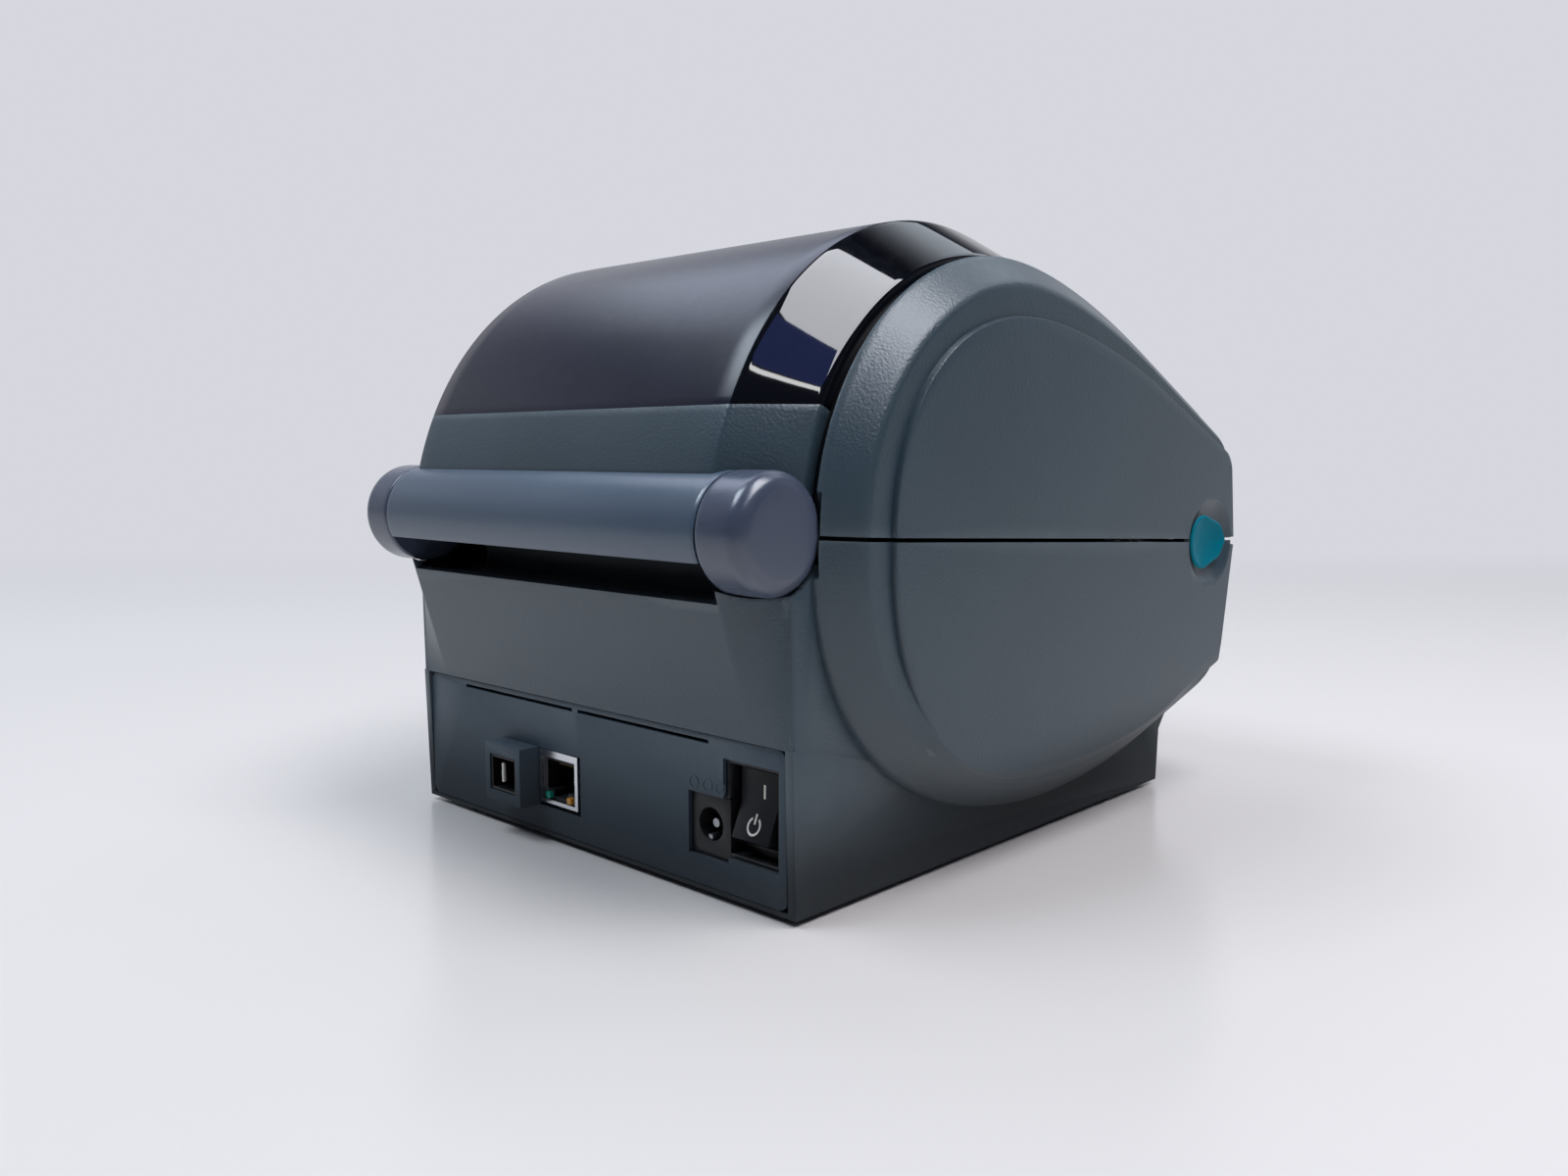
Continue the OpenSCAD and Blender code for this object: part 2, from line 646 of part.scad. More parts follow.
module platen_gear() {
    color([0.9, 0.9, 0.86]) up() difference() {
        wheel(gear_a, platen_y, platen_z, platen_teeth, idler_aim);
        rod(0, far, platen_y, platen_z, shaft_r);
    }
}
module idler_gear() {
    color([0.9, 0.9, 0.86]) up() difference() {
        union() {
            wheel([gear_a[0], gear_b[0] + 0.1], idler_y, idler_z, idler_small_teeth,
                idler_aim + 180 + 180 / idler_small_teeth);
            wheel(gear_b, idler_y, idler_z, idler_large_teeth, idler_aim);
        }
        rod(0, far, idler_y, idler_z, 2 + run_fit);
    }
}
module motor_pinion() {
    color([0.75, 0.62, 0.30]) up() {
        wheel(gear_b, motor_y, motor_z, motor_teeth, idler_aim + 180 + 180 / motor_teeth);
        rod(chassis_x + 0.3, gear_b[1] + 0.6, motor_y, motor_z, 1.5);
    }
}

// ---- Roll holders, drawn for the +X side; the rack of each passes its own side of the pinion
holder_plate = [holder_gap + 3, holder_gap + 6];
module roll_holder(s) {
    edge = well_y - s * (link_r + 1.1 + 0.15);
    low = -holder_travel - 8;
    up() {
        // upright arm
        intersection() {
            across(holder_plate[0], holder_plate[1]) hull() {
                translate([well_y, well_z]) circle(r = 15);
                translate([well_y - 17, well_z - well_r - 2]) square([34, 6]);
            }
            rod(0, far, well_y, well_z, well_r - 0.5);
        }
        // stub axle for the hub
        rod(holder_gap - 4.6, holder_plate[0] + 1, well_y, well_z, 4);
        // leg through the slot in the well
        block([holder_plate[0] - 2.6, well_y - s * leg_dy - 2.4, rack_z[0]],
            [holder_plate[1], well_y - s * leg_dy + 2.4, well_floor + 12]);
        // rack
        translate([0, 0, rack_z[0]]) linear_extrude(rack_z[1] - rack_z[0]) {
            y0 = min(edge, edge - s * 3);
            translate([low, y0]) square([holder_plate[1] - low, 3]);
            translate([0, edge]) rack_teeth(low, holder_plate[0], s);
        }
    }
}
// Teeth stand towards the pinion, with a gap between two of them at x = 0.
module rack_teeth(x0, x1, s) {
    pitch = PI * link_m;
    for (i = [ceil(x0 / pitch):floor(x1 / pitch) - 1]) translate([(i + 0.5) * pitch, 0])
        polygon([[-pitch * 0.34, -s * 0.05], [-pitch * 0.12, s * 1.75],
            [pitch * 0.12, s * 1.75], [pitch * 0.34, -s * 0.05]]);
}
module roll_hub() {
    up() difference() {
        union() {
            rod(holder_gap, holder_plate[0] - slack, well_y, well_z, flange_r);
            rod(holder_gap - 5, holder_plate[0] - slack, well_y, well_z, hub_r);
        }
        rod(0, far, well_y, well_z, 4 + run_fit);
    }
}
module roll_holder_right() { color([0.25, 0.27, 0.30]) roll_holder(1); }
module roll_holder_left() { color([0.25, 0.27, 0.30]) mirror([1, 0, 0]) roll_holder(-1); }
module roll_hub_right() { color([0.35, 0.38, 0.42]) roll_hub(); }
module roll_hub_left() { color([0.35, 0.38, 0.42]) mirror([1, 0, 0]) roll_hub(); }
module link_pinion() {
    color([0.9, 0.9, 0.86]) up() translate([0, well_y, rack_z[0]]) difference() {
        linear_extrude(rack_z[1] - rack_z[0]) rotate(90) gear_2d(link_teeth, link_m);
        translate([0, 0, -1]) cylinder(h = 10, r = 3 + run_fit);
    }
}
module mark_sensor() {
    color(dark) up() {
        block([-5, platen_y + 14.8, 67], [5, platen_y + 20.2, 72.6]);
        block([-7, platen_y + 13.6, 68.4], [7, platen_y + 21.4, 70.6]);
    }
}

// ---- Cover latches, drawn for the +X side
module latch() {
    up() {
        difference() {
            union() {
                across(latch_x, latch_x + lever_t) polygon([[latch_y + 4.6, latch_pivot_z - 3],
                    [latch_y + 4.6, latch_z + 5], [latch_y - 1, latch_z + 13],
                    [latch_y - 5, latch_z + 13], [latch_y - 5, latch_pivot_z - 3]]);
                rod(latch_x, latch_x + lever_t, latch_y, latch_pivot_z, 5);
            }
            rod(0, far, latch_y, latch_pivot_z, latch_pin_r + run_fit);
        }
        block([latch_x + 2, latch_y - 4.6, latch_z - 4.6], [face_x - 0.6, latch_y + 4.4, latch_z + 4.6]);
        difference() {
            intersection() {
                translate([0, 0, latch_z]) across(face_x - 2.4, body_w / 2 + 0.4) hull() {
                    translate([latch_y + 3.8, 0]) circle(r = 8.2);
                    translate([latch_y - 5, 0]) circle(r = 6);
                    translate([latch_y - 10.8, 0]) circle(r = 1.2);
                }
                translate([dish_x, latch_y, latch_z]) sphere(dish_r - 1);
            }
            translate([body_w / 2 + 29.4, latch_y, latch_z]) sphere(30);
        }
    }
}
module latch_right() { color([0, 0.50, 0.58]) latch(); }
module latch_left() { color([0, 0.50, 0.58]) mirror([1, 0, 0]) latch(); }
module latch_pins() {
    color(steel) up() both_sides() rod(latch_x - 0.6, face_x - 2, latch_y, latch_pivot_z, latch_pin_r);
}

// ---- Cover
module crown_side(inset) {
    intersection() {
        offset(delta = -inset) polygon(crown_outline);
        nose_cut(inset);
    }
}
module rim_side(inset) {
    intersection() {
        offset(delta = -inset - 0.4) polygon(cheek_outline);
        nose_cut(inset);
    }
}
// Core of the cover: a flat middle with a sloping facet on each side
module cover_body(inset, side) {
    hull() {
        across(-crease_x + inset / 2, crease_x - inset / 2) crown_side(inset);
        across(-rim_x + side, rim_x - side) rim_side(inset);
    }
}
module window_zone(play) {
    across(-far, far) polygon([[far, seam_z + play], [0, seam_z + play],
        [window_front_y + play, seam_z + play - 20], [window_front_y + play, far], [far, far]]);
}
module top_casing() {
    color(body_grey) up() difference() {
        union() {
            difference() {
                intersection() {
                    cover_body(0, 0);
                    across(-far, far) above_parting(part_gap / 2);
                }
                cover_body(wall, wall);
                // keep the space behind the well open for the hinge
                block([-far, hinge_y - barrel_r + 0.4, 0], [far, far, band_foot[1] - 0.6]);
                hinge_relief(cap_x - 0.2, far);
                hinge_relief(-far, -cap_x + 0.2);
                rod(-far, far, hinge_y, hinge_z, barrel_r - barrel_wall);
            }
            // barrel cover, open below and in front
            difference() {
                rod(-cap_x + 0.4, cap_x - 0.4, hinge_y, hinge_z, barrel_r);
                rod(-cap_x + 2.6, cap_x - 2.6, hinge_y, hinge_z, barrel_r - barrel_wall);
                across(-far, far) translate([hinge_y, hinge_z]) polygon([[0, 0],
                    far * [cos(-27), sin(-27)], far * [0.3, -1], far * [-1, -1],
                    far * [cos(110), sin(110)]]);
            }
            both_sides() rod(cap_x - 2.8, cap_x - 0.4, hinge_y, hinge_z, 6);
        }
        both_sides() rod(cap_x - 5, cap_x, hinge_y, hinge_z, hinge_pin_r + run_fit);
        // seat of the window
        intersection() {
            difference() {
                cover_body(-1, -1);
                cover_body(wall - 0.1, -1);
            }
            window_zone(-0.15);
        }
        // label exit
        block([-well_x, front_y - 5, 0], [well_x, front_y + 12, part_front_z + 6.5]);
        feed_bore(feed_r + 3.1);
    }
}
module feed_axis() {
    translate([feed_x, feed_y, feed_z]) rotate([feed_tilt, 0, 0]) children();
}
module feed_bore(r) { feed_axis() translate([0, 0, -12]) cylinder(h = 24, r = r); }
module window() {
    color([0.08, 0.08, 0.10, 0.85]) up() intersection() {
        difference() {
            cover_body(0, 0);
            cover_body(wall - 0.2, -1);
        }
        window_zone(0);
    }
}
// Front lower corner of a cover cheek, around the latch
module guard_box() { block([0, front_y - 5, 0], [far, latch_y + 18, latch_z + 18]); }
module cover_cheek() {
    up() difference() {
        union() {
            difference() {
                intersection() {
                    union() { cheek_body(0); cheek_field(0); }
                    across(core_x - 1.3, far) above_parting(part_gap / 2);
                }
                intersection() {
                    cheek_body(wall);
                    across(core_x + 1, far) above_parting(part_gap / 2 - 1);
                }
            }
            intersection() {
                latch_pad();
                across(0, far) above_parting(part_gap / 2);
            }
        }
        hinge_relief(0, cap_end + slack);
        latch_dish(dish_r);
        latch_window();
        // channel for the latch arm
        block([core_x + 1, latch_y - 12, 0], [latch_x + 3, latch_y + 8, latch_z + 16]);
        // groove beside the window
        difference() {
            across(core_x - 2, core_x + 0.4) offset(delta = 5) polygon(cheek_outline);
            across(core_x - 3, core_x + 1) offset(delta = -3) polygon(cheek_outline);
        }
    }
}
module cheek() { difference() { cover_cheek(); guard_box(); } }
module guard() { intersection() { cover_cheek(); guard_box(); } }
module cheek_right() { color(body_grey) cheek(); }
module cheek_left() { color(body_grey) mirror([1, 0, 0]) cheek(); }
module guard_right() { color(body_grey) guard(); }
module guard_left() { color(body_grey) mirror([1, 0, 0]) guard(); }
shelf_z = 92;
module cover_shelf() {
    color([0.30, 0.32, 0.34]) up() difference() {
        block([-rim_x + wall + 0.1, front_y + 6, shelf_z], [rim_x - wall - 0.1, well_front - 1, shelf_z + 2]);
        for (x = [-1, 1]) translate([x * (head_half - 12), platen_y, 0]) cylinder(h = 200, r = 2);
        for (x = [-1, 1], y = [front_y + 14, well_front - 8])
            translate([x * (rim_x - 10), y, 0]) cylinder(h = 200, r = 1.6);
    }
}
module shelf_screws() {
    color(steel) up() for (x = [-1, 1], y = [front_y + 14, well_front - 8])
        translate([x * (rim_x - 10), y, shelf_z - 1.3]) {
            cylinder(h = 1.3, r = 2.8);
            cylinder(h = 5, r = 1.5);
        }
}
module head_carrier() {
    color(steel) up() {
        block([-head_half, platen_y - 9, shelf_z - 2.4], [head_half, platen_y + 9, shelf_z - 1.4]);
        for (x = [-1, 1]) translate([x * (head_half - 12), platen_y, head_z + 5])
            cylinder(h = shelf_z + 2 - head_z - 5, r = 2);
        for (x = [-1, 1]) translate([x * (head_half - 30), platen_y, shelf_z - 1.5])
            cylinder(h = 1.5, r = 4);
    }
}
module heat_sink() {
    color([0.78, 0.79, 0.80]) up() difference() {
        block([-head_half, platen_y - 10, head_z + 3], [head_half, platen_y + 10, head_z + 9.5]);
        for (i = [-3:3]) block([-far, platen_y + i * 2.6 - 0.6, head_z + 7],
            [far, platen_y + i * 2.6 + 0.6, far]);
        for (x = [-1, 1]) translate([x * (head_half - 12), platen_y, 0])
            cylinder(h = 200, r = 2 + run_fit);
    }
}
module print_strip() {
    color([0.85, 0.80, 0.70]) up() {
        block([-head_half + 2, platen_y - 7, head_z + 1], [head_half - 2, platen_y + 9, head_z + 3]);
        rod(-head_half + 4, head_half - 4, platen_y, head_z + 1.4, 1.4);
    }
}
module latch_strikes() {
    color(steel) up() both_sides() {
        block([latch_x, latch_y + 5.2, latch_z + 6], [latch_x + 2.4, latch_y + 7.6, latch_z + 16]);
        block([core_x + 1, latch_y + 5.2, latch_z + 15.4], [latch_x + 3, latch_y + 7.6, latch_z + 17.4]);
    }
}
module feed_ring() {
    color([0.75, 0.80, 0.78]) up() feed_axis() difference() {
        translate([0, 0, -8]) cylinder(h = 8, r = feed_r + 3);
        translate([0, 0, -9]) cylinder(h = 12, r = feed_r + 0.4);
    }
}
module feed_button() {
    color([0.35, 0.37, 0.40]) up() feed_axis() {
        translate([0, 0, -6]) cylinder(h = 6.6 + feed_travel, r = feed_r);
    }
}

base_shell();
bottom_plate();
rubber_feet();
bottom_screws();
rear_panel();
hinge_cap_left();
hinge_cap_right();
hinge_pins();
media_chassis();
main_board();
board_chips();
board_capacitors();
board_screws();
data_port();
network_port();
network_port_core();
power_jack();
power_jack_pin();
switch_frame();
power_rocker();
exit_guide();
tear_bar();
drive_motor();
motor_screws();
idler_stud();
gap_sensor();
platen_bearings();
platen_shaft();
platen_rubber();
platen_gear();
idler_gear();
motor_pinion();
roll_holder_left();
roll_holder_right();
roll_hub_left();
roll_hub_right();
link_pinion();
mark_sensor();
latch_left();
latch_right();
latch_pins();
top_casing();
window();
cheek_left();
cheek_right();
guard_left();
guard_right();
cover_shelf();
shelf_screws();
head_carrier();
heat_sink();
print_strip();
latch_strikes();
feed_ring();
feed_button();
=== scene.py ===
# %% [markdown]
# # A desktop label printer, seen from behind
# The printer is a moulded casing in two halves: a base with the ports, and a
# cover that turns on a thick hinge barrel. The frame brings in every CAD part
# in its place. What shows from outside is made again here as smooth surfaces,
# and everything else keeps its CAD mesh and gets a proper finish.

# %% Load the frame
import json
import bpy
import bmesh
import numpy as np
from math import radians, pi
from mathutils import Matrix
from mathutils.bvhtree import BVHTree


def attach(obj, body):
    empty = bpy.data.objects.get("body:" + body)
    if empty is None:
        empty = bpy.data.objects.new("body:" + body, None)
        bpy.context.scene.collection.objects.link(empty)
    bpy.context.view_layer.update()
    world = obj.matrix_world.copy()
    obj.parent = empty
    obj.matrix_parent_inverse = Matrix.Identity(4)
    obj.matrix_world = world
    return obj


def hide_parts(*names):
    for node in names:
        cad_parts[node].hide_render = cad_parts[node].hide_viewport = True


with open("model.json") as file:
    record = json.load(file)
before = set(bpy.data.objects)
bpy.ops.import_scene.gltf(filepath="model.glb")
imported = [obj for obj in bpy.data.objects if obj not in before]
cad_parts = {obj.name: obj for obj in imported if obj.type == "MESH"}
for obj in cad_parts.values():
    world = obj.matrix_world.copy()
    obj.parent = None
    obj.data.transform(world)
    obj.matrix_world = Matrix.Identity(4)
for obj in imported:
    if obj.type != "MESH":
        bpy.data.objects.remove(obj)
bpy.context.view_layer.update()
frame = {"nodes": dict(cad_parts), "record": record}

# %% [markdown]
# Sizes are in millimetres over the bottom edge of the casing, as a drawing of
# the real printer gives them, and become metres only when a mesh is made. The
# rubber feet lift everything by FOOT.

# %% The sizes that several pieces share
MM = 0.001
FOOT = 1.5                # height of the rubber feet
FRONT = -105.0            # front lip
PART_AT = 74.0            # height of the parting line at the front lip
PART_RISE = 0.0514        # its rise per millimetre towards the rear
HINGE = (91.6, 84.7)      # axis of the hinge, as (y, z)
BARREL = 13.4             # radius of the hinge barrel
RELIEF = BARREL + 0.45    # radius of the room for the hinge caps in the casing
RELIEF_END = 76.6         # half width where that room ends
CORE = 74.75              # half width between the cheeks
FACE = 84.0               # face of a cheek
FIELD = 1.5               # how far the field stands out of that face
BEVEL = 7.5               # depth of the bevel round a cheek
CREASE = 59.4             # half width of the flat middle of the cover
RIM = 73.25               # half width of the cover beside a cheek
SEAM = 112.0              # height of the joint under the window
WALL = 2.2                # wall of a moulding
HANDS = ((1, "right"), (-1, "left"))


def parting(y):
    """Height of the line between base and cover: a straight line that falls towards the front."""
    return PART_AT + (np.asarray(y) - FRONT) * PART_RISE


print("parting line at the hinge:", round(float(parting(HINGE[0])), 2), "mm")

# %% [markdown]
# ## Camera
# The printer is looked at from behind and to its left, from just above the
# height of its hinge. A camera is placed by two turns: one about the vertical,
# one down towards the object.

# %% Camera
lens = bpy.data.cameras.new("camera")
lens.lens = 28.51
lens.sensor_width = 36
lens.clip_start = 0.01
camera = bpy.data.objects.new("camera", lens)
camera.location = (-0.2524, 0.2774, 0.1033)
camera.rotation_euler = (radians(83.75), 0, radians(223.54))
scene = bpy.context.scene
scene.collection.objects.link(camera)
scene.camera = camera
scene.view_settings.view_transform = "Standard"
print("camera", round(camera.location.length, 3), "m from the origin")

# %% [markdown]
# ## Turning arrays into meshes
# Every new surface is a grid of points: one direction runs along the shape,
# the other across it. The whole grid is computed as one numpy array, and its
# quads are worked out from the row length. Where rows meet in a point, the
# doubled points are merged, so the surface has no hole there.


# %% Grid to mesh
def quads(rows, cols, wrap=False):
    """Corner numbers of each cell: point (i, j) has number i * cols + j.

    Where the grid wraps, the last column joins the first.
    """
    i, j = np.meshgrid(np.arange(rows - 1), np.arange(cols if wrap else cols - 1), indexing="ij")
    k = (j + 1) % cols
    here, ahead = i * cols, (i + 1) * cols
    return np.stack([here + j, here + k, ahead + k, ahead + j], -1).reshape(-1, 4)


def new_object(name, mesh):
    """An object for this mesh or lamp, in the scene's collection."""
    made = bpy.data.objects.new(name, mesh)
    scene.collection.objects.link(made)
    return made


def grid_object(name, parts, closed=True, merge=0.02):
    """One object from grids of millimetre points; each part is (grid, wraps, flips).

    A closed form is turned outwards.
    """
    points, faces, start = [], [], 0
    for grid, wrap, flip in parts:
        rows, cols = grid.shape[:2]
        cells = quads(rows, cols, wrap) + start
        points.append(grid.reshape(-1, 3))
        faces.append(cells[:, ::-1] if flip else cells)
        start += rows * cols
    points = (np.concatenate(points) + [0, 0, FOOT]) * MM
    mesh = bpy.data.meshes.new(name)
    mesh.from_pydata(points.tolist(), [], np.concatenate(faces).tolist())
    return tidied(new_object(name, mesh), merge, closed)


def tidied(piece, merge=0.02, closed=True):
    """Merges doubled points, drops cells with no area and turns a closed form's faces outwards."""
    tidy = bmesh.new()
    tidy.from_mesh(piece.data)
    bmesh.ops.remove_doubles(tidy, verts=tidy.verts, dist=merge * MM)
    bmesh.ops.dissolve_degenerate(tidy, edges=tidy.edges, dist=merge * MM / 4)
    if closed:
        bmesh.ops.recalc_face_normals(tidy, faces=tidy.faces)
    tidy.to_mesh(piece.data)
    tidy.free()
    return piece


print("a 3 x 4 grid has", len(quads(3, 4)), "cells")

# %% [markdown]
# A sheet of points is only a skin. Solidify gives it the wall of a moulding,
# Boolean cuts the openings that a real mould has as cores, and a narrow Bevel
# rounds the edges that catch the light. The modifiers are applied at once, so
# each piece is a plain closed mesh with its place in its points.


# %% Finishing a piece
def applied(piece):
    """Replaces the mesh with what its modifiers make of it."""
    bpy.context.view_layer.update()
    graph = bpy.context.evaluated_depsgraph_get()
    done = bpy.data.meshes.new_from_object(piece.evaluated_get(graph))
    piece.modifiers.clear()
    piece.data = done
    return piece


def sheet(name, grid, wall=WALL, flip=False):
    """A moulding: an open grid and its copy moved along the normals by the wall, joined."""
    piece = grid_object(name, [(grid, False, flip)], closed=False)
    solid = piece.modifiers.new("wall", "SOLIDIFY")
    solid.thickness = wall * MM
    solid.offset = -1
    solid.use_quality_normals = True
    return tidied(applied(piece), 0.002)


def cut(piece, *cutters, kind="DIFFERENCE"):
    """Takes each cutter's volume out of the piece, or joins it where the kind is UNION."""
    for tool in cutters:
        hole = piece.modifiers.new("hole", "BOOLEAN")
        hole.operation = kind
        hole.solver = "MANIFOLD"
        hole.object = tool
    return applied(piece)


def edge_round(piece, width, angle=35):
    """Rounds every edge sharper than the angle to this width."""
    rounder = piece.modifiers.new("edges", "BEVEL")
    rounder.width = width * MM
    rounder.segments = 2
    rounder.limit_method = "ANGLE"
    rounder.angle_limit = radians(angle)
    rounder.harden_normals = False
    return applied(piece)


def dressed(piece, look):
    """Gives the piece this finish and no other."""
    piece.data.materials.clear()
    piece.data.materials.append(FINISH[look])


def finish(piece, body, slot, *nodes, angle=30, look=None):
    """Gives the piece its shading, finish and body, and hides the CAD nodes that it stands for.

    Shading is smooth, with a hard edge only where two faces meet at more than
    the angle. A look is another finish of the same slot's plastic.
    """
    mesh = piece.data
    mesh.polygons.foreach_set("use_smooth", [True] * len(mesh.polygons))
    mesh.set_sharp_from_angle(angle=radians(angle))
    dressed(piece, look or slot)
    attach(piece, body)
    if nodes:
        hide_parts(*nodes)
    print(piece.name, len(mesh.polygons), "faces")


FINISH = {}

# %% [markdown]
# ## Floor and light
# A small studio: a pale floor with a little gloss and a pale wall behind the
# object, while the room behind the camera is dark. That gives dark plastics
# their contrast: faces that mirror the wall look light, the others deep. The
# wall fades out with the direction's dot product with the way ahead, and
# above, and the far floor runs into the wall's tone without an edge. Panels in
# the ceiling give the highlights.


# %% Small helpers for node trees
def srgb(red, green, blue):
    """A colour of a chart, 0 to 255, made linear: ((c + 0.055) / 1.055) to the power 2.4."""
    chart = np.array([red, green, blue]) / 255
    return (*(((chart + 0.055) / 1.055) ** 2.4).round(4).tolist(), 1.0)


def unit(way):
    """The same direction with length 1."""
    return way / np.linalg.norm(way)


def node(tree, kind, x=0, y=0, **values):
    """A shader node; values named like its inputs go there, the rest are its settings."""
    made = tree.nodes.new("ShaderNode" + kind)
    made.location = (x, y)
    for name, value in values.items():
        key = name.replace("_", " ")
        if key in made.inputs:
            made.inputs[key].default_value = value
        else:
            setattr(made, name, value)
    return made


def wire(tree, *links):
    """Joins sockets; each link is (node, output, node, input)."""
    for giver, out, taker, into in links:
        tree.links.new(giver.outputs[out], taker.inputs[into])


def ranged(tree, low, high, x=0, y=0, kind="LINEAR", **values):
    """A node that carries low to 0, or To_Min, and high to 1, or To_Max."""
    return node(tree, "MapRange", x, y, interpolation_type=kind, From_Min=low, From_Max=high,
                **values)


def new_material(name):
    """A new material and its node tree."""
    made = bpy.data.materials.new(name)
    made.use_nodes = True
    return made, made.node_tree


def product(tree, first, second, x=0, y=0):
    """A node that multiplies two outputs; each is (node, output)."""
    made = node(tree, "Math", x, y, operation="MULTIPLY")
    wire(tree, (*first, made, 0), (*second, made, 1))
    return made


print("mid grey is", srgb(128, 128, 128)[0])

# %% World, floor and lamps
AHEAD = (0.69, -0.724, 0.0)       # the way the camera looks, on the level
WALL_TONE = srgb(214, 215, 222)
world = bpy.data.worlds.new("room")
world.use_nodes = True
scene.world = world
wt = world.node_tree
wt.nodes.clear()
way = node(wt, "TexCoord")
facing = node(wt, "VectorMath", operation="DOT_PRODUCT")
facing.inputs[1].default_value = AHEAD
level = node(wt, "SeparateXYZ")
wall_side = ranged(wt, -0.15, 0.72, kind="SMOOTHSTEP")
wall_top = ranged(wt, 0.62, 0.40, kind="SMOOTHSTEP")
lit = product(wt, (wall_side, 0), (wall_top, 0))
tone = node(wt, "Mix", data_type="RGBA", A=srgb(48, 54, 66), B=WALL_TONE)
shine = node(wt, "Background", Strength=1.0)
wire(wt, (way, "Generated", facing, 0), (way, "Generated", level, 0),
     (facing, "Value", wall_side, "Value"), (level, "Z", wall_top, "Value"),
     (lit, 0, tone, "Factor"), (tone, "Result", shine, "Color"),
     (shine, 0, node(wt, "OutputWorld"), 0))

floor_mat, ft = new_material("pale table")
gloss = ft.nodes["Principled BSDF"]
gloss.inputs["Roughness"].default_value = 0.22
cloud = node(ft, "TexNoise", Scale=1.3, Detail=2.0)
coords = node(ft, "TexCoord")
tint = node(ft, "Mix", data_type="RGBA", A=srgb(220, 214, 209), B=srgb(227, 221, 216))
away = node(ft, "VectorMath", operation="DOT_PRODUCT")
away.inputs[1].default_value = AHEAD
into_wall = ranged(ft, 0.30, 0.95, kind="SMOOTHSTEP")
wall_light = node(ft, "Emission", Color=WALL_TONE)
joined = node(ft, "MixShader")
wire(ft, (coords, "Object", cloud, "Vector"), (cloud, "Fac", tint, "Factor"),
     (tint, "Result", gloss, "Base Color"), (coords, "Object", away, 0),
     (away, "Value", into_wall, "Value"), (into_wall, 0, joined, 0), (gloss, 0, joined, 1),
     (wall_light, 0, joined, 2), (joined, 0, ft.nodes["Material Output"], 0))


def stage_plane(name, corners, material):
    """A flat four-sided stage piece from its corners in metres."""
    mesh = bpy.data.meshes.new(name)
    mesh.from_pydata(corners, [], [(0, 1, 2, 3)])
    mesh.materials.append(material)
    new_object(name, mesh)


stage_plane("table", [(-4, -4, 0), (4, -4, 0), (4, 4, 0), (-4, 4, 0)], floor_mat)


def lamp(name, corners, watts, tint):
    """A soft lamp that shines at the object; its corners are the first and the two next to it."""
    first, along, across = map(np.asarray, corners)
    light = bpy.data.lights.new(name, "AREA")
    light.shape = "RECTANGLE"
    light.size = float(np.linalg.norm(along - first))
    light.size_y = float(np.linalg.norm(across - first))
    light.energy = watts
    light.color = tint
    u = unit(along - first)
    w = np.cross(u, across - first)
    w = unit(w) * np.sign(w @ (along + across))
    turned_so = np.column_stack([u, np.cross(w, u), w, (along + across) / 2])
    new_object(name, light).matrix_world = Matrix([*turned_so.tolist(), [0, 0, 0, 1]])


def glowing(name, corners, strength, colour, fade=None, height=1.2):
    """A flat panel that shines, as a piece of the stage; corners are (x, y) in metres.

    A fade gives the two values of Y where its light is none and full.
    """
    made, tree = new_material(name)
    tree.nodes.clear()
    shine = node(tree, "Emission", Color=(*colour, 1), Strength=strength)
    if fade:
        place = node(tree, "TexCoord")
        split = node(tree, "SeparateXYZ")
        soft = ranged(tree, *fade, kind="SMOOTHSTEP", To_Max=strength)
        wire(tree, (place, "Object", split, 0), (split, "Y", soft, "Value"),
             (soft, 0, shine, "Strength"))
    wire(tree, (shine, 0, node(tree, "OutputMaterial"), 0))
    stage_plane(name, [(x, y, height) for x, y in corners], made)


glowing("ceiling panel", [(-0.05, -0.15), (-0.75, -0.557), (-1.2, 0.436), (-0.2, 0.113)], 8.6,
        (0.95, 0.97, 1.04))
glowing("front panel", [(-0.4, -0.4), (0.35, -0.4), (0.35, -1.5), (-0.4, -1.5)], 1.6,
        (0.82, 0.90, 1), fade=(-0.42, -0.95))
glowing("narrow panel", [(-0.84, 0.66), (-1.26, 0.61), (-1.28, 0.65), (-0.86, 0.70)], 12.0,
        (1, 1, 1))
glowing("blue panel", [(-0.60, 0.27), (-1.2, 0.30), (-1.2, 0.62), (-0.75, 0.64)], 1.0,
        (0.2, 0.3, 1.0), height=1.21)
lamp("far panel", [(0.7, -0.95, 1.3), (1.6, -0.65, 1.3), (0.40, -0.05, 1.3)], 6.0,
     (0.76, 0.83, 1.0))
lamp("rear panel light", [(0.2, 0.35, 1.4), (1.0, 0.35, 1.4), (0.2, 1.15, 1.4)], 16.0,
     (0.78, 0.89, 1.0))
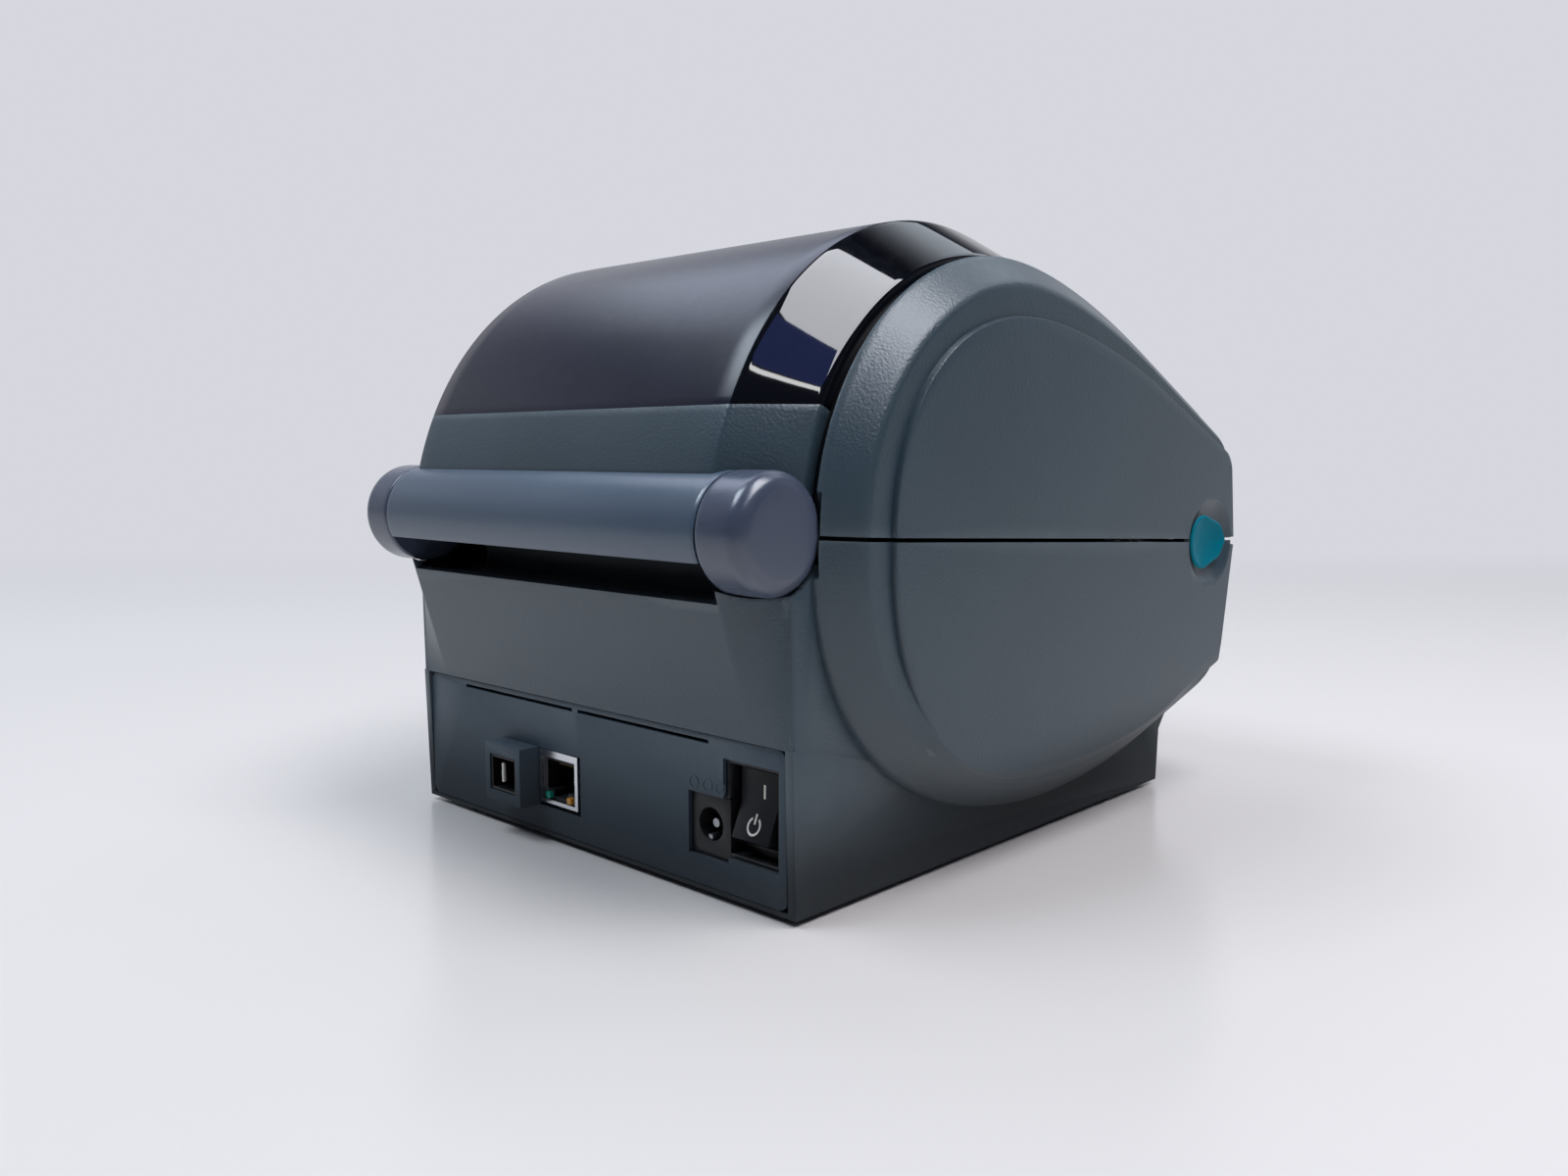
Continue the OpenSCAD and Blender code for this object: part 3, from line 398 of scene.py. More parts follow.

# %% [markdown]
# ## Finishes
# Moulded casings are never one flat colour: the mould gives a pebble grain,
# the plastic is a little cloudy, corners are rubbed pale and dust settles on
# what faces up. Each of these is a node group, built once and placed in every
# material that needs it with its own values. One more group paints shade: below
# about 30 mm the casing grows darker and rougher, as painted shade at the foot
# near the table.


# %% Node groups for grain, rubbed edges, dust and the painted shade at the foot
def group(name, inputs, outputs):
    """An empty node group with float inputs (name, value) and float outputs, and its two ends."""
    made = bpy.data.node_groups.new(name, "ShaderNodeTree")
    face = made.interface
    for label, value in inputs:
        face.new_socket(label, in_out="INPUT", socket_type="NodeSocketFloat").default_value = value
    for label in outputs:
        face.new_socket(label, in_out="OUTPUT", socket_type="NodeSocketFloat")
    entry, result = [made.nodes.new("NodeGroup" + end) for end in ("Input", "Output")]
    entry.location, result.location = (-900, 0), (500, 0)
    return made, entry, result


grain, g_in, g_out = group("pebble grain", [("Scale", 900.0), ("Cloud Scale", 30.0)],
                           ["Height", "Cloud"])
g_at = node(grain, "TexCoord", -900, 300)
g_cells = node(grain, "TexVoronoi", -500, 200, feature="SMOOTH_F1", Smoothness=0.6)
g_fine = node(grain, "TexNoise", -500, -100, Detail=2.0)
g_mix = node(grain, "Math", -200, 100, operation="MULTIPLY_ADD")
g_mix.inputs[1].default_value = 0.7
g_cloud = node(grain, "TexNoise", -500, -400, Detail=3.0, Roughness=0.6)
wire(grain, *[(g_at, "Object", texture, "Vector") for texture in (g_cells, g_fine, g_cloud)],
     (g_in, "Scale", g_cells, "Scale"), (g_in, "Scale", g_fine, "Scale"),
     (g_in, "Cloud Scale", g_cloud, "Scale"), (g_cells, "Distance", g_mix, 0),
     (g_fine, "Fac", g_mix, 2), (g_mix, 0, g_out, "Height"), (g_cloud, "Fac", g_out, "Cloud"))

# Rubbed edges: paler where the surface is sharpest. On the casing that is wear; on the latch the
# same mask is also a painted highlight.
rub_and_glint, r_in, r_out = group("rubbed edges", [("Amount", 0.5), ("Scale", 60.0)], ["Mask"])
r_geo = node(rub_and_glint, "NewGeometry", -900, 200)
r_ramp = ranged(rub_and_glint, 0.52, 0.62, -600, 200)
r_at = node(rub_and_glint, "TexCoord", -900, -200)
r_noise = node(rub_and_glint, "TexNoise", -600, -200, Detail=4.0)
r_both = product(rub_and_glint, (r_ramp, 0), (r_noise, "Fac"), -300)
r_amount = product(rub_and_glint, (r_both, 0), (r_in, "Amount"))
wire(rub_and_glint, (r_geo, "Pointiness", r_ramp, "Value"), (r_at, "Object", r_noise, "Vector"),
     (r_in, "Scale", r_noise, "Scale"), (r_amount, 0, r_out, "Mask"))

dust, d_in, d_out = group("settled dust", [("Amount", 0.1), ("Scale", 350.0)], ["Mask"])
d_geo = node(dust, "NewGeometry", -900, 200)
d_split = node(dust, "SeparateXYZ", -700, 200)
d_up = ranged(dust, 0.3, 1.0, -500, 200)
d_at = node(dust, "TexCoord", -900, -200)
d_noise = node(dust, "TexNoise", -600, -200, Detail=6.0, Roughness=0.7)
d_specks = ranged(dust, 0.45, 0.75, -400, -200)
d_both = product(dust, (d_up, 0), (d_specks, 0), -100)
d_amount = product(dust, (d_both, 0), (d_in, "Amount"), 100)
wire(dust, (d_geo, "Normal", d_split, 0), (d_split, "Z", d_up, "Value"),
     (d_at, "Object", d_noise, "Vector"), (d_in, "Scale", d_noise, "Scale"),
     (d_noise, "Fac", d_specks, "Value"), (d_amount, 0, d_out, "Mask"))

# Painted shade at the foot: a mask that is 1 up to 6 mm over the table and 0 from 34 mm, times the
# amount.
foot, f_in, f_out = group("dull foot", [("Amount", 0.7)], ["Mask"])
f_at = node(foot, "TexCoord", -900, 200)
f_split = node(foot, "SeparateXYZ", -700, 200)
f_low = ranged(foot, 0.034, 0.006, -400, 200, "SMOOTHSTEP")
f_amount = product(foot, (f_low, 0), (f_in, "Amount"))
wire(foot, (f_at, "Object", f_split, 0), (f_split, "Z", f_low, "Value"),
     (f_amount, 0, f_out, "Mask"))
print("groups:", [g.name for g in bpy.data.node_groups])

# %% [markdown]
# One function puts a finish together: the colour drifts between two close
# shades with the cloud of the grain group, rubbed edges and dust lighten it
# (on the latch the rubbed edges are also a painted highlight), painted shade
# darkens the foot, and the pebbles go through a Bump node. What is the same
# all over, such as the metal, is set on the shader's own socket.


# %% One function for every finish
def make_finish(name, colour, shade_2, rough, pebble=900.0, depth=0.02, cloud=30.0,
                rough_swing=0.06, wear_and_glint=0.0, wear_and_glint_colour=(150, 160, 165), dusty=0.0, metal=0.0,
                ior=1.5, painted_foot_shade=0.0):
    """A finish whose colour runs from the first shade to the second with the cloud.

    Its roughness swings with the cloud too. The pebbles are depth millimetres
    deep, and pebble and cloud say how many of each there are to a metre.
    """
    made, t = new_material(name)
    shader = t.nodes["Principled BSDF"]
    shader.inputs["Metallic"].default_value = metal
    shader.inputs["IOR"].default_value = ior
    texture = node(t, "Group", -900, 0, node_tree=grain, Scale=pebble, Cloud_Scale=cloud)
    cloudy = ranged(t, 0.3, 0.7, -700, 200)
    tone = node(t, "Mix", -500, 200, data_type="RGBA", A=srgb(*colour), B=srgb(*shade_2))
    wire(t, (texture, "Cloud", cloudy, "Value"), (cloudy, 0, tone, "Factor"))
    # The last mask is painted shade: it mixes the near-black (14, 18, 22) into the casing's foot.
    for amount, kind, over_colour in ((wear_and_glint, rub_and_glint, wear_and_glint_colour), (dusty, dust, (190, 190, 188)),
                                      (painted_foot_shade, foot, (14, 18, 22))):
        if amount:
            mask = node(t, "Group", -500, -200, node_tree=kind, Amount=amount)
            over = node(t, "Mix", -250, 200, data_type="RGBA", B=srgb(*over_colour))
            wire(t, (mask, "Mask", over, "Factor"), (tone, "Result", over, "A"))
            tone = over
    polish = ranged(t, 0, 1, -500, -400, To_Min=rough - rough_swing, To_Max=rough + rough_swing)
    bump = node(t, "Bump", -250, -200, Strength=1.0, Distance=depth * MM)
    wire(t, (tone, "Result", shader, "Base Color"), (texture, "Cloud", polish, "Value"),
         (texture, "Height", bump, "Height"), (bump, 0, shader, "Normal"))
    # The painted shade at the foot also makes the surface rougher, so that it mirrors less.
    if painted_foot_shade:
        rougher = node(t, "Math", -250, -450, operation="MULTIPLY_ADD")
        rougher.inputs[1].default_value = 0.6
        wire(t, (mask, "Mask", rougher, 0), (polish, 0, rougher, 2))
        polish = rougher
    wire(t, (polish, 0, shader, "Roughness"))
    FINISH[name] = made


# The casing darkens towards its foot as painted shade.
make_finish("casing", (50, 66, 75), (55, 72, 82), 0.35, pebble=1500, depth=0.06, cloud=14,
            wear_and_glint=0.25, dusty=0.10, ior=1.62, painted_foot_shade=0.9)
make_finish("hinge_trim", (69, 85, 102), (75, 91, 108), 0.29, pebble=1400, depth=0.012, cloud=16,
            wear_and_glint=0.15, dusty=0.05, ior=1.7)
# The caps are the barrel's plastic; this darker, more violet copy paints the shade and the blue
# reflection on them.
make_finish("cap_trim", (68, 76, 94), (74, 82, 100), 0.26, pebble=1400, depth=0.012, cloud=16,
            wear_and_glint=0.15, dusty=0.05, ior=1.7)
# The rear panel is the casing's plastic; this bluer, slightly lighter copy paints the cool light on
# it, and its foot darkens as painted shade.
make_finish("panel_casing", (52, 69, 81), (57, 74, 87), 0.38, pebble=1500, depth=0.04, cloud=14,
            wear_and_glint=0.2, dusty=0.10, ior=1.5, painted_foot_shade=0.62)
make_finish("smoked_window", (25, 28, 43), (32, 32, 51), 0.30, pebble=2200, depth=0.006, cloud=9,
            dusty=0.05)
make_finish("polished_facet", (10, 11, 17), (14, 15, 22), 0.035, pebble=60, depth=0.002, cloud=9,
            rough_swing=0.01, dusty=0.03, ior=1.55)
# The latch's rubbed edges are partly wear and partly a painted highlight: the pale cyan (60, 185,
# 200) along its edges stands in for the rim highlight.
make_finish("latch_teal", (0, 110, 128), (0, 118, 138), 0.28, pebble=900, depth=0.004, cloud=40,
            wear_and_glint=0.5, wear_and_glint_colour=(60, 185, 200), ior=1.08)
make_finish("black_plastic", (13, 13, 15), (19, 19, 22), 0.40, pebble=1200, depth=0.02, dusty=0.06)
make_finish("switch_black", (13, 14, 17), (18, 19, 23), 0.33, pebble=1800, depth=0.008, dusty=0.04)
make_finish("inner_plastic", (88, 92, 96), (96, 100, 103), 0.5, depth=0.03, dusty=0.08)
print(len(FINISH), "plastics")

# %% Metals, rubber and the rest
make_finish("steel", (196, 198, 201), (180, 183, 187), 0.3, pebble=1600, depth=0.004, metal=1.0)
make_finish("port_shield", (226, 228, 231), (206, 208, 212), 0.22, pebble=700, depth=0.004,
            metal=1.0)
make_finish("board_green", (18, 92, 54), (26, 108, 64), 0.3, pebble=500, depth=0.02, cloud=120)
make_finish("capacitor_blue", (40, 44, 92), (48, 52, 104), 0.35, depth=0.01)
make_finish("motor_body", (128, 130, 133), (142, 144, 147), 0.38, pebble=600, depth=0.01, metal=1.0)
make_finish("platen_rubber", (34, 34, 35), (44, 44, 44), 0.62, pebble=1500, depth=0.03)
make_finish("foot_rubber", (26, 26, 27), (36, 36, 36), 0.8, pebble=900, depth=0.05)
make_finish("gear_white", (226, 224, 214), (216, 213, 202), 0.45, depth=0.008)
make_finish("bearing_white", (220, 219, 211), (210, 208, 199), 0.42, depth=0.008)
make_finish("pinion_brass", (206, 176, 106), (190, 158, 90), 0.3, depth=0.006, metal=1.0)
make_finish("holder_grey", (78, 83, 90), (86, 91, 98), 0.45, depth=0.03, dusty=0.05)
make_finish("hub_grey", (100, 108, 116), (108, 116, 124), 0.42, depth=0.02)
make_finish("head_aluminium", (204, 206, 208), (188, 190, 193), 0.34, pebble=1300, depth=0.01,
            metal=1.0)
make_finish("print_ceramic", (206, 196, 172), (214, 205, 184), 0.18, depth=0.004)
make_finish("lamp_green", (18, 120, 104), (26, 140, 120), 0.2, depth=0.004)
make_finish("lamp_amber", (190, 128, 40), (204, 140, 52), 0.2, depth=0.004)
make_finish("ring_lens", (196, 208, 202), (208, 218, 212), 0.3, depth=0.008)
make_finish("feed_key", (96, 102, 108), (104, 110, 116), 0.4, depth=0.02)
print(len(FINISH), "finishes")

# %% Give every CAD node its finish
record_slots = {part["node"]: part["material_slot"] for part in frame["record"]["subparts"]}
for name, cad in frame["nodes"].items():
    dressed(cad, record_slots[name])
print(len(set(record_slots.values())), "slots in use")

# %% [markdown]
# ## Cheeks
# Each side of the printer is a deep moulded cheek. Seen from the side its
# outline rises from the nose along a straight slope, rounds the crown and
# drops to the hinge; below the parting line it turns under in one big curve.
# From the outline a bevel climbs to a flat ring, and inside the ring a
# D-shaped field stands out a little more. Such a form is best lofted: every
# row of the grid is one closed-up copy of the outline, and a profile says how
# far out each row lies.


# %% Curves of the side view
def turn(start, corner, end, count, fullness=0.6):
    """A cubic curve from start to end with handles at the fullness of the way to the corner."""
    t = np.linspace(0, 1, count)[:, None]
    start, corner, end = map(np.asarray, (start, corner, end))
    a = start + fullness * (corner - start)
    b = end + fullness * (corner - end)
    left = 1 - t
    return left ** 3 * start + 3 * left ** 2 * t * a + 3 * left * t ** 2 * b + t ** 3 * end


def straight(start, end, count):
    """Evenly spaced points from start to end."""
    return np.linspace(start, end, count)


def chain(*runs):
    """One curve from runs of points, each starting where the one before it ends."""
    return np.concatenate([runs[0], *[run[1:] for run in runs[1:]]])


def at_x(x, curve):
    """Points (x, y, z) from a curve of (y, z); x is one value or one for each point."""
    return np.column_stack([np.broadcast_to(x, len(curve)), curve])


def moved_in(curve, depth):
    """Each point moved by the depth along the unit tangent turned a quarter to the right."""
    way = np.gradient(curve, axis=0)
    way /= np.linalg.norm(way, axis=1, keepdims=True)
    return curve + depth * np.stack([way[:, 1], -way[:, 0]], 1)


def crossing(a, b, c, d):
    """Where the line through a and b meets the line through c and d."""
    a, b, c, d = map(np.asarray, (a, b, c, d))
    s = np.cross(c - a, d - c) / np.cross(b - a, d - c)
    return a + s * (b - a)


def smooth(x):
    """Goes from 0 to 1 as x does, level at both ends: 3x^2 - 2x^3."""
    x = np.clip(x, 0, 1)
    return x * x * (3 - 2 * x)


print("a quarter turn:", turn((0, 0), (0, 1), (1, 1), 3, 0.55).round(3).tolist())

# %% [markdown]
# The nose is the leaning front of the printer. Each row meets it in a rounded
# corner. The parting line opens towards the nose, where the two halves do not
# quite touch.

# %% Rows of a cover cheek, from the nose over the crown to the hinge
NOSE = np.array([(FRONT, 75.0), (-101.3, 104.0)])
NOSE_CORNER = 6.0                 # how far the corner over the nose is rounded
BEYOND = -130.0                   # Y well in front of the nose, where straight lines start
BACK_END = 84.1                   # height where the outline ends at the hinge
PART_GAP, NOSE_GAP = 1.0, 0.75    # gap between the halves, and what each half adds at the nose


def part_edge(y, side):
    """Edge of the cover (side 1) or base (side -1): half the gap off the parting line.

    The gap widens over the 8 mm before the nose.
    """
    y = np.asarray(y, float)
    return parting(y) + side * (PART_GAP / 2 + NOSE_GAP * smooth((FRONT + 9 - y) / 8))


def cover_row(slope, crown, back, depth=0.0, front=0.0, corner=NOSE_CORNER, fullness=(0.65, 0.552)):
    """One row: up the nose, along the slope, over the crown and down to the parting line."""
    bend = 13                     # number of the slope's last point
    over = chain(straight(*slope, bend + 1), turn(slope[1], *crown, 40, fullness[0]),
                 turn(crown[1], (back, crown[1][1]), (back, BACK_END), 52, fullness[1]))
    over = moved_in(over, depth)
    nose = NOSE + [front, 0]
    tip = crossing(nose[0], nose[1], over[0], over[bend])
    up, along = unit(nose[1] - nose[0]), unit(over[bend] - over[0])
    foot = np.array([FRONT + front, part_edge(FRONT + front, 1)])
    row = chain(straight(foot, tip - corner * up, 12),
                turn(tip - corner * up, tip, tip + corner * along, 9),
                straight(tip + corner * along, over[bend], 16), over[bend:])
    row[-1, 1] = part_edge(row[-1, 0], 1)
    return row


OUTLINE = dict(slope=[(BEYOND, 98.8), (-57.95, 130.55)],
               crown=[(-14.75, 149.6), (11.85, 149.6)], back=81.8)
FIELD_OUTLINE = dict(slope=[(BEYOND, 89.3), (-57.95, 118.1)],
                     crown=[(-18.95, 134.6), (11.85, 134.6)], back=66.5,
                     fullness=(0.57, 0.6), corner=4.0)
print("points in a row:", len(cover_row(**OUTLINE)))

# %% [markdown]
# The base cheek uses the same idea the other way round: its rows run from the
# hinge down the back, round the big corner, forward under the field and up
# the nose.

# %% Rows of a base cheek, from the hinge under the field to the nose
LOW_NOSE = np.array([(-79.5, 16.0), (-97.5, 37.0), (-99.0, 42.0), (-105.0, 73.0)])


def base_row(back, low, toe, depth=0.0, front=0.0, corner=5.0, fullness=0.62):
    """One row: down the back, round the low corner, along to the toe and up the nose."""
    toe_count = 12                # points of the straight to the toe
    under = chain(straight(*back, 5),
                  turn(back[1], (back[1][0], low[0][1]), low[0], 64, fullness),
                  turn(*low, 16), straight(low[2], toe, toe_count))
    under = moved_in(under, depth)
    nose = LOW_NOSE + [front, 0]
    tip = crossing(nose[0], nose[1], under[-2], under[-1])
    rest = nose[1:]
    if tip[0] < nose[1][0]:
        tip = crossing(nose[1], nose[2], under[-2], under[-1])
        rest = nose[2:]
    along, up = unit(under[-1] - under[-2]), unit(rest[0] - tip)
    keep = under[:1 - toe_count]
    corner = min(corner, 0.8 * np.linalg.norm(rest[0] - tip))
    knee = rest[0] if len(rest) == 3 else tip + 0.5 * (rest[0] - tip) + 0.5 * corner * up
    row = chain(keep, straight(keep[-1], tip - corner * along, 9),
                turn(tip - corner * along, tip, tip + corner * up, 8),
                straight(tip + corner * up, knee, 5), straight(knee, rest[-2], 4),
                straight(*rest[-2:], 12))
    row[0, 1] = part_edge(row[0, 0], -1)
    row[-1, 1] = part_edge(row[-1, 0], -1)
    return row


LOW_OUTLINE = dict(back=[(82.2, 83.0), (82.2, 79.7)],
                   low=[(-10.15, 9.2), (-38.15, 9.2), (-66.15, 17.2)], toe=(BEYOND, 34.2))
LOW_FIELD = dict(back=[(66.5, 83.0), (66.5, 80.0)],
                 low=[(11.85, 22.0), (-30.0, 18.5), (-60.0, 26.3)], toe=(BEYOND, 45.0),
                 fullness=0.6, corner=3.0)
print("points in a base row:", len(base_row(**LOW_OUTLINE)), len(base_row(**LOW_FIELD)))

# %% [markdown]
# Now the profile across the rows. The bevel is a straight ramp whose upper
# crease is rounded; the step up to the field is a narrow S. On the base the
# step melts away under the field, so its height is spread over the ring
# there: `soft` is 0 where the step is sharp and 1 where it has melted.


# %% Loft a cheek
OUTER = CORE + 1.2                # half width where the bevel starts
CREASE_ROUND = 1.3                # half width of the rounding between bevel and ring
NOSE_ROUND = 1.5                  # radius of the edge between nose and face
RING = 8                          # width of the part of the ring that rises towards the field


def ramp(depth):
    """How far out the bevel is at this depth: a climb and a level, joined by a parabola."""
    rise = (FACE - OUTER) / BEVEL
    from_crease = np.clip((depth - BEVEL) / CREASE_ROUND, -1, 1)
    rounding = rise * CREASE_ROUND * (1 - np.abs(from_crease)) ** 2 / 4
    return np.minimum(OUTER + rise * np.minimum(depth, BEVEL), FACE) - rounding


def cheek_grid(row, outline, field, soft, lip):
    """Rows from the inner edge of the rim to the parting line, as points on the +X side."""
    plan = lip + [(0.35, ramp(0.5))]
    plan += [(d, ramp(d)) for d in (1.2, 2.4, 3.6, 4.8, 5.8, 6.4, 6.9, 7.3, 7.7)]
    rows = []
    for depth, x in plan:
        over_edge = np.clip((x - FACE + NOSE_ROUND) / NOSE_ROUND, 0, 1)
        lead = NOSE_ROUND * (1 - np.sqrt(1 - over_edge ** 2))
        rows.append(at_x(x, row(depth=depth, front=lead, **outline)))
    ring = rows[-1][:, 1:]
    foot = row(front=NOSE_ROUND, **field)
    for share in (0.05, 0.1, 0.2, 0.35, 0.5, 0.65, 0.8, 0.92, 0.98):
        out = FACE + FIELD * soft * smooth(share) - (FACE - ramp(BEVEL + 0.2 + RING * share))
        rows.append(at_x(out, ring + share * (foot - ring)))
    for depth, rise in ((0.0, 0.0), (0.08, 0.35), (0.2, 0.7), (0.4, 0.93), (0.8, 1.0)):
        inner = row(depth=depth, front=NOSE_ROUND - 0.8 * rise, **field)
        rows.append(at_x(FACE + FIELD * (soft + (1 - soft) * rise), inner))
    last = rows[-1][:, 1:]
    even = np.linspace(last[0, 0], last[-1, 0], len(last))
    level_y = 0.5 * last[:, 0] + 0.5 * even
    level = np.column_stack([level_y, part_edge(level_y, 1 if row is cover_row else -1)])
    for share in np.linspace(0, 1, 17)[1:]:
        rows.append(at_x(FACE + FIELD, last + share * (level - last)))
    return np.stack(rows)


cover_soft = np.zeros(len(cover_row(**OUTLINE)))
base_points = base_row(**LOW_FIELD)
base_soft = smooth((60 - base_points[:, 1]) / 26) * smooth((base_points[:, 0] + 92) / 30)
GROOVE_LIP = [(4.0, 73.4), (4.0, 74.9), (0.5, 75.1), (0.0, 75.5)]
BASE_LIP = [(0.0, 74.5), (0.0, 75.3)]
cover_grid = cheek_grid(cover_row, OUTLINE, FIELD_OUTLINE, cover_soft, GROOVE_LIP)
base_grid = cheek_grid(base_row, LOW_OUTLINE, LOW_FIELD, base_soft, BASE_LIP)
print("cheek grids:", cover_grid.shape, base_grid.shape)

# %% [markdown]
# The loft is only a skin, so it gets its wall next. Then the openings: round
# room for the hinge cap, and the dish that a finger reaches into to pull the
# latch. The dish is part of a ball, drawn out by 4 mm towards the nose. At the
# tight corner of the nose the inner skin would fold through the face, so its
# points there are laid back at the wall's depth.

# %% Cutters for the cap and the latch dish
LATCH = np.array([-86.0, 74.7])     # latch as (y, z)
DISH_X, DISH_R = 103.7, 22.0        # centre and radius of the dish's ball
DISH_PULL = 4.0                     # how far its front half is drawn out forward


def ball(radius, side, sweep, across):
    """Part of the dish's ball on one side of the printer, with its front half drawn out.

    A point is the centre plus radius * (-cos a, sin a cos t, sin a sin t).
    """
    a, t = np.meshgrid(across, sweep, indexing="ij")
    shift = np.where(np.cos(t) < -1e-9, -DISH_PULL, 0.0)
    y = LATCH[0] + shift + radius * np.sin(a) * np.cos(t)
    z = LATCH[1] + radius * np.sin(a) * np.sin(t)
    return np.stack([side * (DISH_X - radius * np.cos(a)), y, z], -1)


def disc_solid(name, loop, x0, x1):
    """A closed loop of (y, z) carried from x0 to x1, with both ends closed to their middle."""
    middle = loop.mean(0)
    rings = [at_x(x, middle + f * (loop - middle)) for x, f in ((x0, 0), (x0, 1), (x1, 1), (x1, 0))]
    return grid_object(name, [(np.stack(rings), True, False)])


def around(count):
    """Angles of a full turn, each given once."""
    return np.linspace(0, 2 * pi, count, endpoint=False)


def cap_room(side, inner):
    """Cutter for the room round a hinge cap, from this half width outwards."""
    t = around(96)
    loop = np.column_stack([HINGE[0] + RELIEF * np.cos(t), HINGE[1] + RELIEF * np.sin(t)])
    return disc_solid("cap_room", loop, side * inner, side * RELIEF_END)


def dropped(*tools):
    """Removes cutters that have done their work."""
    for tool in tools:
        bpy.data.objects.remove(tool)


def mirrored(grid, side):
    """The same grid on the +X side (1) or the -X side (-1)."""
    return grid * [side, 1, 1]


for side, hand in HANDS:
    whole_ball = ball(DISH_R, side, around(96), np.linspace(0, pi, 40))
    tools = [grid_object("dish_tool", [(whole_ball, True, False)]), cap_room(side, 60)]
    for grid, body, name, nodes in (
            (cover_grid, "cover", "cover_cheek_", ("cheek_" + hand, "guard_" + hand)),
            (base_grid, "base", "base_cheek_", ("base_shell",))):
        cheek = sheet(name + hand, mirrored(grid, side), flip=side == 1)
        for point in cheek.data.vertices:
            if abs(point.co.x) > (FACE + FIELD + 0.02) * MM:
                point.co.x = side * (FACE + FIELD - WALL) * MM
        cut(cheek, *tools)
        finish(cheek, body, "casing", *nodes, angle=38)
    dropped(*tools)

# %% [markdown]
# The dish itself is a shallow bowl. Half of it belongs to the cover and half
# to the base, and an opening in its middle lets the latch lever through.

# %% Bowls of the latch dishes
RIM_ANGLE = np.arccos((DISH_X - FACE - FIELD) / DISH_R)
HOLE_ANGLE = 0.25                 # edge of the opening for the lever, in radians
HALF_GAP = 0.035                  # half of the gap between the two bowls, in radians
for side, hand in HANDS:
    for body, first, node_name in (("cover", HALF_GAP, "guard_" + hand),
                                   ("base", pi + HALF_GAP, "base_shell")):
        sweep = np.concatenate([
            np.linspace(first, first + pi / 2 - HALF_GAP, 20),
            np.linspace(first + pi / 2 - 0.034, first + pi - 2 * HALF_GAP, 20)])
        bowl = ball(DISH_R - 0.03, side, sweep, np.linspace(HOLE_ANGLE, RIM_ANGLE - 0.004, 16))
        piece = sheet(f"latch_bowl_{body}_{hand}", bowl, 1.2, side == 1)
        finish(piece, body, "casing", node_name)

# %% [markdown]
# ## Latches
# The finger pad is a drop: round at the back, pointed in front, hollowed for
# the finger, with a soft lip all round. Its outline is a closed loop, and the
# rows of the grid are that loop shrunk towards its middle.


# %% Latch buttons
def drop_loop(shrink):
    """Outline of the pad: the hull of three circles, as the farthest reach in each direction."""
    t = around(120)
    way = np.column_stack([np.cos(t), np.sin(t)])
    centres = np.array([[3.4, 0], [-4.6, 0], [-9.8, 0]])
    radii = np.array([8.2, 5.8, 1.6]) - shrink
    reach = way @ centres.T + radii
    best = reach.argmax(1)
    return LATCH + centres[best] + radii[best][:, None] * way


def button_grid():
    """Rows from the middle of the back round the lip to the middle of the hollow front."""
    plan = [(9.0, 82.6), (6.0, 82.8), (3.0, 83.6), (1.2, 84.5), (0.35, 85.0), (0.05, 85.35),
            (0.12, 85.75), (0.5, 85.98), (1.0, 85.9), (1.9, 85.62), (3.2, 85.3), (4.8, 85.05),
            (6.4, 84.9), (8.0, 84.83)]
    middle = LATCH + [0.5, 0]
    rows = []
    for shrink, x in plan:
        loop = drop_loop(min(shrink, 1.2))
        if shrink > 1.2:
            loop = middle + (loop - middle) * (1 - (shrink - 1.2) / 8)
        rows.append(at_x(x, loop))
    ends = [at_x(x, np.tile(middle, (len(loop), 1))) for x in (plan[0][1], plan[-1][1])]
    return np.stack([ends[0], *rows, ends[1]])


def squared(wave):
    """A cosine or sine pushed out towards a square: its size to the power 0.4, with its sign."""
    return np.sign(wave) * np.abs(wave) ** 0.4


STEM = LATCH + 4.2 * np.column_stack([squared(np.cos(around(32))), squared(np.sin(around(32)))])
ARM = np.array([(-81.4, 45), (-81.4, 79.7), (-87, 87.7), (-91, 87.7), (-91, 45)])
arm_loop = np.concatenate([straight(p, q, 8)[:-1] for p, q in zip(ARM, np.roll(ARM, -1, 0))])
for side, hand in HANDS:
    body, node_name = "latch_lever_" + hand, "latch_" + hand
    pad = grid_object("latch_pad_" + hand, [(mirrored(button_grid(), side), True, False)])
    stem = disc_solid("latch_stem_" + hand, STEM, side * 78.6, side * 83.4)
    arm = disc_solid("latch_arm_" + hand, arm_loop, side * 76.35, side * 78.75)
    edge_round(arm, 0.4)
    for piece, angle in ((pad, 50), (stem, 30), (arm, 30)):
        finish(piece, body, "latch_teal", node_name, angle=angle)

# %% [markdown]
# ## Cover between the cheeks
# Seen from behind the cover has a flat middle and a facet down each side. Both
# come from two side outlines: a higher one for the middle, and one along the
# cheek for the rim. A grid row runs along the printer, and the profile across
# goes from rim to crease to crease to rim.

# %% The two outlines, from the nose to the hinge
CROWN_TURN, CROWN_TOP = -8.2, 159.0   # where the slope's line meets the crown's level, as (y, z)
CROWN_RISE = 0.488                    # rise of the slope over its run
SPLIT = -14.0                         # Y of the joint between front casing and window


